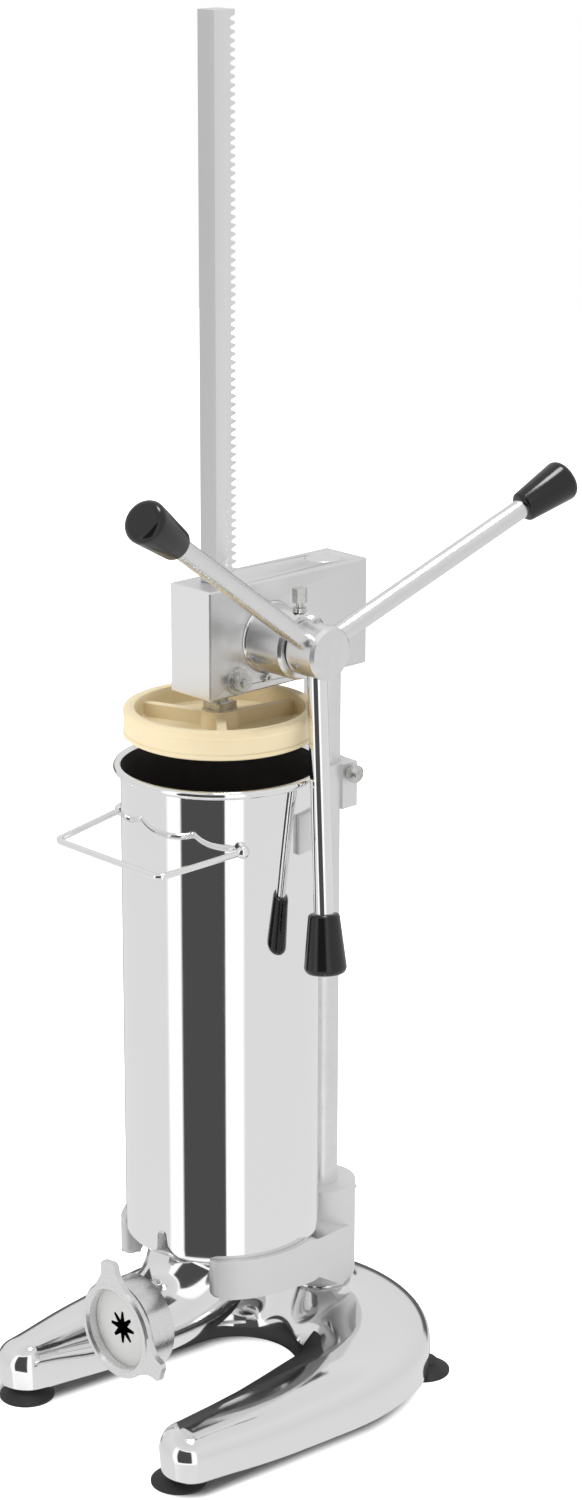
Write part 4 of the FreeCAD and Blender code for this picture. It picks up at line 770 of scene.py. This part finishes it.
def dress(obj, finish, bevel=0.0):
    """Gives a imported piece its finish, smooth shading and, where asked, slightly broken edges."""
    obj.data.materials.clear()
    obj.data.materials.append(finish)
    smooth(obj.data)
    obj.modifiers.new("weld", "WELD").merge_threshold = WELD_DISTANCE
    if bevel:
        broken = obj.modifiers.new("broken_edges", "BEVEL")
        broken.width = bevel
        broken.segments = 2
        broken.limit_method = "ANGLE"
        broken.angle_limit = math.radians(BEVEL_ANGLE)
    keep_edges(obj, SHARP_ANGLE)


SLOT_OF = {entry["node"]: entry["material_slot"] for entry in frame["record"]["subparts"]}
for name, obj in nodes.items():
    dress(obj, OWN_FINISHES.get(name, FINISHES[SLOT_OF[name]]), BROKEN_EDGES.get(name, 0.0))
triangles = sum(len(obj.data.polygons) for obj in nodes.values())
print("dressed", len(nodes), "pieces,", triangles, "triangles")

# %% [markdown]
# ## Surfaces worked out on a grid
#
# A turned piece is a profile carried round an axis, and a bent tube is a circle carried along a
# path. Both are a grid of points, so one function turns any grid into a mesh.
#
# A smooth line through a few given points is a natural cubic spline. Between two knots a distance h
# apart, with u running from 0 to 1 and v = 1 - u,
#
#     p = v p0 + u p1 + h^2 / 6 ((v^3 - v) m0 + (u^3 - u) m1)
#
# where m are the second derivatives, which one small system of equations gives.

# %% Grid helpers
MERGE_DISTANCE = 0.000002
SMOOTH_ANGLE = 40


def natural_spline(places, where, knots):
    """The spline through places (at the given knots), evaluated at every parameter in where."""
    places = np.asarray(places, dtype=float)
    flat = places.reshape(len(places), -1)
    gap = np.diff(knots)
    system = np.diag(2 * (gap[:-1] + gap[1:])) + np.diag(gap[1:-1], 1) + np.diag(gap[1:-1], -1)
    bend = np.zeros_like(flat)
    bend[1:-1] = np.linalg.solve(system, 6 * np.diff(np.diff(flat, axis=0) / gap[:, None], axis=0))
    step = np.clip(np.searchsorted(knots, where, side="right") - 1, 0, len(gap) - 1)
    h = gap[step][:, None]
    u = (where - knots[step])[:, None] / h
    v = 1 - u
    line = v * flat[step] + u * flat[step + 1]
    line += ((v ** 3 - v) * bend[step] + (u ** 3 - u) * bend[step + 1]) * h * h / 6
    return line.reshape((len(where),) + places.shape[1:])


def chord_knots(places):
    """Running length along a row of points, for a spline that is even along its length."""
    return np.concatenate([[0], np.cumsum(np.linalg.norm(np.diff(places, axis=0), axis=1))])


def join(parts):
    """Several (points, quads) pairs as one."""
    start, all_points, all_quads = 0, [], []
    for points, quads in parts:
        all_points.append(points)
        all_quads.append(quads + start)
        start += len(points)
    return np.concatenate(all_points), np.concatenate(all_quads)


def grid_faces(rows, columns, wrap_rows, wrap_columns):
    """Corner numbers of every quad on a grid of rows x columns points, as one array."""
    r = np.arange(rows if wrap_rows else rows - 1)
    c = np.arange(columns if wrap_columns else columns - 1)
    rr, cc = np.meshgrid(r, c, indexing="ij")
    below, beside = (rr + 1) % rows * columns, (cc + 1) % columns
    rr = rr * columns
    return np.stack([rr + cc, rr + beside, below + beside, below + cc], -1).reshape(-1, 4)


def build(name, points, quads, body, slot):
    """Makes a smooth mesh from points and quads, closes its poles, and lets it ride on a body."""
    mesh = bpy.data.meshes.new(name)
    mesh.vertices.add(len(points))
    mesh.vertices.foreach_set("co", np.ascontiguousarray(points, dtype=np.float32).ravel())
    mesh.loops.add(quads.size)
    mesh.loops.foreach_set("vertex_index", quads.ravel().astype(np.int32))
    mesh.polygons.add(len(quads))
    mesh.polygons.foreach_set("loop_start", np.arange(0, quads.size, 4, dtype=np.int32))
    mesh.update(calc_edges=True)
    mesh.validate()
    closer = bmesh.new()
    closer.from_mesh(mesh)
    bmesh.ops.remove_doubles(closer, verts=closer.verts, dist=MERGE_DISTANCE)
    bmesh.ops.recalc_face_normals(closer, faces=closer.faces)
    closer.to_mesh(mesh)
    closer.free()
    smooth(mesh)
    mesh.materials.append(FINISHES[slot])
    obj = new_object(name, mesh)
    keep_edges(obj, SMOOTH_ANGLE)
    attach(obj, body)
    print(name, len(mesh.polygons), "faces")
    return obj


def turned(profile, centre, axis, segments):
    """Points of a profile of (radius, height) carried round an axis.

    point = centre + height * axis + radius * (cos(a) * side + sin(a) * across)
    """
    axis = np.array(axis, dtype=float) / np.linalg.norm(axis)
    helper = np.array([0.0, 0.0, 1.0]) if abs(axis[2]) < 0.9 else np.array([1.0, 0.0, 0.0])
    side = np.cross(helper, axis)
    side /= np.linalg.norm(side)
    across = np.cross(axis, side)
    profile = np.asarray(profile, dtype=float)
    angle = np.linspace(0, 2 * np.pi, segments, endpoint=False)
    ring = np.cos(angle)[:, None] * side + np.sin(angle)[:, None] * across
    radius, height = profile[:, 0][:, None, None], profile[:, 1][:, None, None]
    points = np.asarray(centre) + height * axis + radius * ring[None, :, :]
    return points.reshape(-1, 3), grid_faces(len(profile), segments, False, True)


def arc(centre, radius, start, end, steps):
    """Points on a circle in the profile's plane, between two angles in degrees."""
    angle = np.radians(np.linspace(start, end, steps))
    return np.stack([centre[0] + radius * np.cos(angle), centre[1] + radius * np.sin(angle)], -1)


# %% [markdown]
# ## The barrel
#
# The barrel is the largest mirror, and any flat facet would break its reflections into strips. Its
# profile runs up the outside, round the rolled bead and down the inside.

# %% Barrel
BARREL_RADIUS = 0.07666
BARREL_WALL = 0.0015
BARREL_LOW = 0.143
BARREL_TOP = 0.528
BEAD = 0.0032
BEAD_CENTRE = 0.079
OUTLET_HOLE = 0.056
CORNER = 0.003
ROWS = 24
CORNER_ROWS = 8
BEAD_START, BEAD_ROWS = -138, 22
BARREL_SEGMENTS = 256
# How far the straight rows stay from the lower edge and from the mouth.
OUTSIDE_GAPS, INSIDE_GAPS = (0.010, 0.006), (0.012, 0.004)
# How near to the inner face, and how far above the lower edge, a face counts as inside.
INSIDE_NEAR, INSIDE_ABOVE = 0.0004, 0.001

inner = BARREL_RADIUS - BARREL_WALL
outside_heights = np.linspace(BARREL_LOW + OUTSIDE_GAPS[0], BARREL_TOP - OUTSIDE_GAPS[1], ROWS)
inside_heights = np.linspace(BARREL_TOP - INSIDE_GAPS[1], BARREL_LOW + INSIDE_GAPS[0], ROWS)
barrel_profile = np.concatenate([
    [[OUTLET_HOLE, BARREL_LOW + BARREL_WALL], [OUTLET_HOLE, BARREL_LOW]],
    arc((BARREL_RADIUS - CORNER, BARREL_LOW + CORNER), CORNER, -90, 0, CORNER_ROWS),
    np.stack([np.full(ROWS, BARREL_RADIUS), outside_heights], -1),
    arc((BEAD_CENTRE, BARREL_TOP), BEAD, BEAD_START, 180, BEAD_ROWS),
    np.stack([np.full(ROWS, inner), inside_heights], -1),
    arc((inner - CORNER, BARREL_LOW + BARREL_WALL + CORNER), CORNER, 0, -90, CORNER_ROWS),
    [[OUTLET_HOLE, BARREL_LOW + BARREL_WALL]],
])
points, quads = turned(barrel_profile, (0, AXIS_Y, 0), (0, 0, 1), BARREL_SEGMENTS)
barrel = build("barrel_shell", points, quads, "frame", "mirror_steel")
# The inner faces get the near-black finish: painted shade for the dim inside of the barrel.
barrel.data.materials.append(PAINTED_SHADE_INSIDE)
centres = np.empty(len(barrel.data.polygons) * 3, dtype=np.float32)
barrel.data.polygons.foreach_get("center", centres)
centres = centres.reshape(-1, 3)
reach = np.hypot(centres[:, 0], centres[:, 1] - AXIS_Y)
is_inside = (reach < inner + INSIDE_NEAR) & (centres[:, 2] > BARREL_LOW + INSIDE_ABOVE)
barrel.data.polygons.foreach_set("material_index", is_inside.astype(np.int32))
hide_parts("barrel")

# %% [markdown]
# ## The horseshoe
#
# The casting is made of ribs. Each rib starts at a point E of the bottom edge and climbs to a point S
# of the spine, the line along the horseshoe's crest. The bottom edge is one closed line: it runs round
# the outside, turns about each tip and comes back along the inside. About a tip the spine stands still
# and the ribs fan out. With a the share of the way from S to E and h the share of the height,
#
#     outer rib:  a = cos(t)^(2/n),  h = w + (1 - w) sin(t)^(2/n),  t = 0 ... 90 degrees
#
# a rounded corner on an upright wall of share w, fuller for a larger n. The inner rib climbs a steep
# wall, turns over a soft ridge and goes on as a gentle slope; it is one spline through a few points.

# %% Horseshoe edge and spine
FLOOR = 10.0
TIP_PLACE = (99.0, -123.0)
TIP_RADIUS = 23.0
TIP_HEIGHT = 47.0
REAR_HEIGHT = 54.0
INNER_ARC = (50.0, 15.0)
OUTER_ARC = (141.4, 38.0)
CREST_ARC = (94.0, 25.0)
CREST_SHIFT = 0.4
LEG_SHARES = (0.25, 0.5, 0.75)
REAR_ANGLES = (0, 22.5, 45, 67.5, 90)
FAN_ANGLES = (0, 30, 60, 90, 120, 150, 180)
FAN_STEP = 12.0
# How far a rib is an inner rib, and how far it is a rib of the tip: at the last outer rib, the
# seven ribs of the fan and the first inner rib. Before and after them nothing changes.
HOLLOW_SHARES = (0, 0, 0, 0, 0, 0, 0.15, 0.4, 0.8)
TIPPED_SHARES = (0.4, 1, 1, 1, 1, 1, 0.8, 0.6, 0.2)
KNOT = 7
CASTING_WALL = 6.0
LOOP_ROWS = 400
RIB_COLUMNS = 52
WALL_COLUMNS = 12
LEG_WALL, LEG_FULLNESS = 0.36, 2.5
TIP_WALL, TIP_FULLNESS = 0.46, 2.1
LEG_LEAN = math.tan(math.radians(1.5))
TIP_LEAN = math.tan(math.radians(5.5))
INNER_RIB = [(1.0, 0.0), (0.95, 0.34), (0.80, 0.58), (0.42, 0.84), (0.0, 1.0)]


def on_arc(rear_arc, angle):
    """A point of a rear arc (radius, y of its centre) at an angle from +x."""
    (radius, y), turn = rear_arc, math.radians(angle)
    return [radius * math.cos(turn), radius * math.sin(turn) + y]


def leg_side(root, rear_arc, bow):
    """Edge points along a leg, from its tip to the start of the rear arc."""
    end = on_arc(rear_arc, 0)
    shares = [(1 - (1 - share) ** 2 if bow else share, share) for share in LEG_SHARES]
    return [[root + (end[0] - root) * across, TIP_PLACE[1] + (end[1] - TIP_PLACE[1]) * along]
            for across, along in shares]


def ribs(inset):
    """Rows round the horseshoe: edge x and y, spine x, y and z, inner share, tip share, knot."""
    radius, rear, tip = TIP_RADIUS - inset, REAR_HEIGHT - inset, TIP_HEIGHT - inset
    crest_root = TIP_PLACE[0] - CREST_SHIFT * TIP_RADIUS
    inner_arc = (INNER_ARC[0] + inset, INNER_ARC[1])
    outer_arc = (OUTER_ARC[0] - inset, OUTER_ARC[1])
    spine = [on_arc(CREST_ARC, angle) + [rear] for angle in REAR_ANGLES[::-1]]
    for (x, y), share in zip(leg_side(crest_root, CREST_ARC, False)[::-1], LEG_SHARES[::-1]):
        spine.append([x, y, tip + (rear - tip) * share])
    fan_spine = [[crest_root, TIP_PLACE[1], tip]] * len(FAN_ANGLES)
    outer = [on_arc(outer_arc, angle) for angle in REAR_ANGLES[::-1]]
    outer += leg_side(TIP_PLACE[0] + radius, outer_arc, True)[::-1]
    inner = leg_side(TIP_PLACE[0] - radius, inner_arc, False)
    inner += [on_arc(inner_arc, angle) for angle in REAR_ANGLES]
    turns = np.radians(FAN_ANGLES)
    fan = np.stack([radius * np.cos(turns), -radius * np.sin(turns)], -1) + TIP_PLACE
    edge = np.concatenate([outer, fan, inner])
    spine = np.array(spine + fan_spine + spine[::-1])
    far = np.zeros(len(outer) - 1)
    hollow = np.concatenate([far, HOLLOW_SHARES, far + 1])
    tipped = np.concatenate([far, TIPPED_SHARES, far])
    step = np.linalg.norm(np.diff(spine, axis=0), axis=1)
    knots = np.concatenate([[0], np.cumsum(np.where(step > 0, step, FAN_STEP))])
    return np.column_stack([edge, spine, hollow, tipped, knots])


def closed_loop(half):
    """The right half, the left half mirrored, and three rows more at either end for a smooth join."""
    flip = np.array([-1, 1, -1, 1, 1, 1, 1, 1])
    left = half[::-1] * flip
    left[:, KNOT] = 2 * half[-1, KNOT] - half[::-1, KNOT]
    whole = np.concatenate([half, left[1:]])
    lap = whole[-1, KNOT]
    before, after = whole[-4:-1].copy(), whole[1:4].copy()
    before[:, KNOT] -= lap
    after[:, KNOT] += lap
    return np.concatenate([before, whole, after]), lap


def casting_skin(inset):
    """Rows round the horseshoe, columns from the bottom edge up to the spine."""
    rows, lap = closed_loop(ribs(inset))
    where = np.linspace(0, lap, LOOP_ROWS, endpoint=False)
    knots = rows[:, KNOT]
    edge = natural_spline(rows[:, 0:2], where, knots)[:, None]
    fixed = np.stack([np.interp(where, knots, rows[:, column]) for column in range(2, KNOT)], -1)
    in_fan = fixed[:, 4:] > 0.999
    spine = np.where(in_fan, fixed[:, 0:3], natural_spline(rows[:, 2:5], where, knots))[:, None]
    hollow, tipped = fixed[:, 3:4], fixed[:, 4:5]
    fullness = LEG_FULLNESS + (TIP_FULLNESS - LEG_FULLNESS) * tipped
    wall = LEG_WALL + (TIP_WALL - LEG_WALL) * tipped
    corner_columns = RIB_COLUMNS - WALL_COLUMNS
    straight = np.linspace(0, 1, WALL_COLUMNS, endpoint=False)
    climb = np.concatenate([straight, np.ones(corner_columns)])
    quarter = np.linspace(0, np.pi / 2, corner_columns)
    turn = np.concatenate([np.zeros(WALL_COLUMNS), quarter])[None]
    across = np.cos(turn).clip(0) ** (2 / fullness)
    rise = wall * climb + (1 - wall) * np.sin(turn) ** (2 / fullness)
    climbs = chord_knots(INNER_RIB)
    inner = natural_spline(INNER_RIB, np.linspace(0, climbs[-1], RIB_COLUMNS), climbs)
    across = across + (inner[:, 0] - across) * hollow
    rise = rise + (inner[:, 1] - rise) * hollow
    z = FLOOR + (spine[..., 2] - FLOOR) * rise
    reach = edge - spine[..., :2]
    out = reach / np.linalg.norm(reach, axis=-1, keepdims=True)
    place = spine[..., :2] + reach * across[..., None]
    lean = LEG_LEAN + (TIP_LEAN - LEG_LEAN) * tipped
    place = place + out * (lean * across * (z - FLOOR))[..., None]
    return np.concatenate([place, z[..., None]], axis=-1)


# %% [markdown]
# Round the post the skin swells up into a boss. The height is the soft larger of the skin's own height
# and that of a cone about the post,
#
#     z = (s + c + sqrt((s - c)^2 + k^2)) / 2
#
# cut off flat at the boss's top. A second skin one wall's thickness in makes the hollow. Strips along
# the bottom join both; foot bosses reach up to the roof, and a tube carries the post.

# %% Horseshoe casting
FOOT_PLACES = [(93.0, -129.5), (96.0, 134.2)]
FOOT_BOSS = 11.0
FOOT_BORE = 3.0
POST_Y = 108.5
POST_BORE = 14.6
BOSS_BOTTOM = 22.0
BOSS_TOP = 60.0
NECK_RADIUS = 25.0
CONE_SLOPE = 1.5
SWELL = 9.0
TUBE_RADIUS = 22.0
TUBE_DROP = 3.0
TUBE_SEGMENTS = 96
BOSS_SEGMENTS = 48
RIM_GAP = 2.0
ROOF_OVERLAP = 1.0
SWELL_START = 14.0
CASTING_WELD = 0.00002


def swell(skin, inset):
    """The skin raised into the cone round the post."""
    x, y, z = skin[..., 0], skin[..., 1], skin[..., 2]
    from_neck = np.hypot(x, y - POST_Y) - (NECK_RADIUS - inset)
    cone = BOSS_TOP - inset - CONE_SLOPE * from_neck
    cone = np.minimum(cone, BOSS_TOP - inset)
    share = np.clip((z - FLOOR) / SWELL_START, 0, 1)
    raised = (z + cone + np.sqrt((z - cone) ** 2 + SWELL ** 2)) / 2
    raised = np.minimum(z + (raised - z) * share, BOSS_TOP - inset)
    return np.stack([x, y, raised], -1)


def foot_boss(x, y, roof):
    """A bored boss from the rim up to the roof, kept inside the outer wall."""
    angle = np.linspace(0, 2 * np.pi, BOSS_SEGMENTS, endpoint=False)
    circle = np.stack([np.cos(angle), np.sin(angle)], -1)
    ring, bore = (x, y) + FOOT_BOSS * circle, (x, y) + FOOT_BORE * circle
    if y > 0:
        centre = np.array([0, OUTER_ARC[1]])
        far = np.linalg.norm(ring - centre, axis=1, keepdims=True)
        ring = centre + (ring - centre) * np.minimum(1, (OUTER_ARC[0] - RIM_GAP) / far)
    flat = roof.reshape(-1, 3)
    nearest = np.argmin(((flat[None, :, :2] - ring[:, None, :]) ** 2).sum(-1), axis=1)
    top = np.maximum(flat[nearest, 2:], FLOOR) + ROOF_OVERLAP
    low = np.full_like(top, FLOOR)
    rows = [np.hstack(pair) for pair in ((bore, low), (ring, low), (ring, top), (bore, top))]
    return np.concatenate(rows), grid_faces(4, len(angle), True, True)


outside, inside = [swell(casting_skin(inset), inset) for inset in (0, CASTING_WALL)]
count = LOOP_ROWS * RIB_COLUMNS
first = np.arange(LOOP_ROWS) * RIB_COLUMNS
following = np.roll(first, -1)
skin_quads = grid_faces(LOOP_ROWS, RIB_COLUMNS, True, False)
rim_quads = np.stack([first, following, following + count, first + count], -1)
shell_points = np.concatenate([outside.reshape(-1, 3), inside.reshape(-1, 3)])
shell = shell_points, np.concatenate([skin_quads, skin_quads + count, rim_quads])
bosses = [foot_boss(side * x, y, inside) for x, y in FOOT_PLACES for side in (1, -1)]
tube_top = BOSS_TOP - TUBE_DROP
tube_profile = [
    (POST_BORE, BOSS_BOTTOM), (TUBE_RADIUS, BOSS_BOTTOM), (TUBE_RADIUS, tube_top),
    (POST_BORE, tube_top), (POST_BORE, BOSS_BOTTOM),
]
tube = turned(tube_profile, (0, POST_Y, 0), (0, 0, 1), TUBE_SEGMENTS)
points, quads = join([shell, *bosses, tube])
casting = build("base_horseshoe", from_axis(points), quads, "frame", "polished_casting")
casting.modifiers.new("weld", "WELD").merge_threshold = CASTING_WELD
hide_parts("base_casting")

# %% [markdown]
# ## The outlet horn
#
# The horn under the barrel is a row of circles. Each circle stands on two points: one runs along the
# top of the horn, the other along its underside, and both follow smooth curves from the outlet back
# and up to the barrel's floor. The second skin inside lies one wall's thickness deeper.
#
#     centre = (top + under) / 2,  radius = |under - top| / 2 - inset

# %% Outlet horn
HORN_TOP = ((84, 118), (75.0, 120.6), (68.2, 125.1), (64.0, 131.0), (62.5, 137.0), (62, 143))
HORN_UNDER = ((84, 56), (58.0, 56.5), (26.0, 61.8), (-4.0, 80.0), (-32.0, 112.0), (-62, 143))
HORN_END = 97
HORN_RADIUS = 31
OUTLET_HEIGHT = 87
HORN_WALL = 4
HORN_ROWS = 60
HORN_SIDES = 128
STRAIGHT_ROWS = 3


def horn_rows(inset):
    """Circles from the outlet's end to the barrel's floor, in millimetres about the barrel's axis."""
    knots = np.arange(float(len(HORN_TOP)))
    along = np.linspace(0, knots[-1], HORN_ROWS)
    top, under = natural_spline(HORN_TOP, along, knots), natural_spline(HORN_UNDER, along, knots)
    straight = np.linspace(HORN_END, HORN_TOP[0][0], STRAIGHT_ROWS, endpoint=False)
    top = np.concatenate([[(y, OUTLET_HEIGHT + HORN_RADIUS) for y in straight], top])
    under = np.concatenate([[(y, OUTLET_HEIGHT - HORN_RADIUS) for y in straight], under])
    centre, half = (top + under) / 2, (under - top) / 2
    radius = np.linalg.norm(half, axis=1, keepdims=True)
    half *= (radius - inset) / radius
    angle = np.linspace(0, 2 * np.pi, HORN_SIDES, endpoint=False)
    cos, sin = np.cos(angle)[None, :], np.sin(angle)[None, :]
    forward = centre[:, :1] + half[:, :1] * cos
    up = centre[:, 1:] + half[:, 1:] * cos
    side = (radius - inset) * sin
    return np.stack([side, -forward, up], -1)


skins = np.concatenate([horn_rows(0), horn_rows(HORN_WALL)[::-1]])
quads = grid_faces(len(skins), HORN_SIDES, True, True)
horn = build("outlet_horn", from_axis(skins.reshape(-1, 3)), quads, "frame", "polished_casting")
# The inner skin gets the same near-black finish: painted shade for the dim inside of the horn.
horn.data.materials.append(PAINTED_SHADE_INSIDE)
inside_row = np.arange(len(quads)) // HORN_SIDES >= len(skins) // 2
horn.data.polygons.foreach_set("material_index", inside_row.astype(np.int32))
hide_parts("outlet_elbow")

# %% [markdown]
# ## The grips
#
# A grip is moulded in one piece: it swells towards its outer end, turns over a broad rounded
# shoulder and ends nearly flat. Its profile is a straight taper with an ellipse at each end.

# %% Grips
GRIP_LENGTH = 0.0466
GRIP_OUTER = 0.0163
GRIP_INNER = 0.0122
GRIP_DROP, GRIP_SHOULDER = 0.0060, 0.0058
GRIP_CORNER = 0.003
GRIP_DOME = 0.0001
GRIP_SEGMENTS = 96
SPOKE_RADIUS = 0.0077
SPOKE_TILT = 9.15
SPOKES = {"rear": (24.4, 0.255), "front": (145.8, 0.251), "lower": (263.8, 0.246)}
HUB_CENTRE = np.array([0.0732, AXIS_Y + 0.03119, 0.6278])


def spoke_direction(angle):
    """Outward direction of a spoke: tilted off the crank's plane, turned about the shaft."""
    tilt, turn = math.radians(SPOKE_TILT), math.radians(angle)
    flat = math.cos(tilt)
    return np.array([math.sin(tilt), flat * math.cos(turn), flat * math.sin(turn)])


def grip_profile():
    """Radius and height: flat inner end, straight taper, elliptical shoulder, slightly domed end."""
    shoulder = np.radians(np.linspace(0, 90, 14))
    rim = GRIP_OUTER - GRIP_SHOULDER
    outer_edge = np.stack([
        rim + GRIP_SHOULDER * np.cos(shoulder), GRIP_LENGTH - GRIP_DROP + GRIP_DROP * np.sin(shoulder),
    ], -1)
    inner_edge = arc((GRIP_INNER - GRIP_CORNER, GRIP_CORNER), GRIP_CORNER, -90, -6, 8)
    dome = np.linspace(1, 0, 8)[1:]
    cap = np.stack([rim * dome, GRIP_LENGTH + GRIP_DOME * (1 - dome ** 2)], -1)
    return np.concatenate([[[SPOKE_RADIUS, 0.0]], inner_edge, outer_edge, cap])


for label, (angle, tip_reach) in SPOKES.items():
    direction = spoke_direction(angle)
    start_point = HUB_CENTRE + direction * (tip_reach - GRIP_LENGTH)
    points, quads = turned(grip_profile(), start_point, direction, GRIP_SEGMENTS)
    grip = build(f"grip_{label}_moulded", points, quads, "crank", "black_plastic")
    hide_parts(f"grip_{label}")
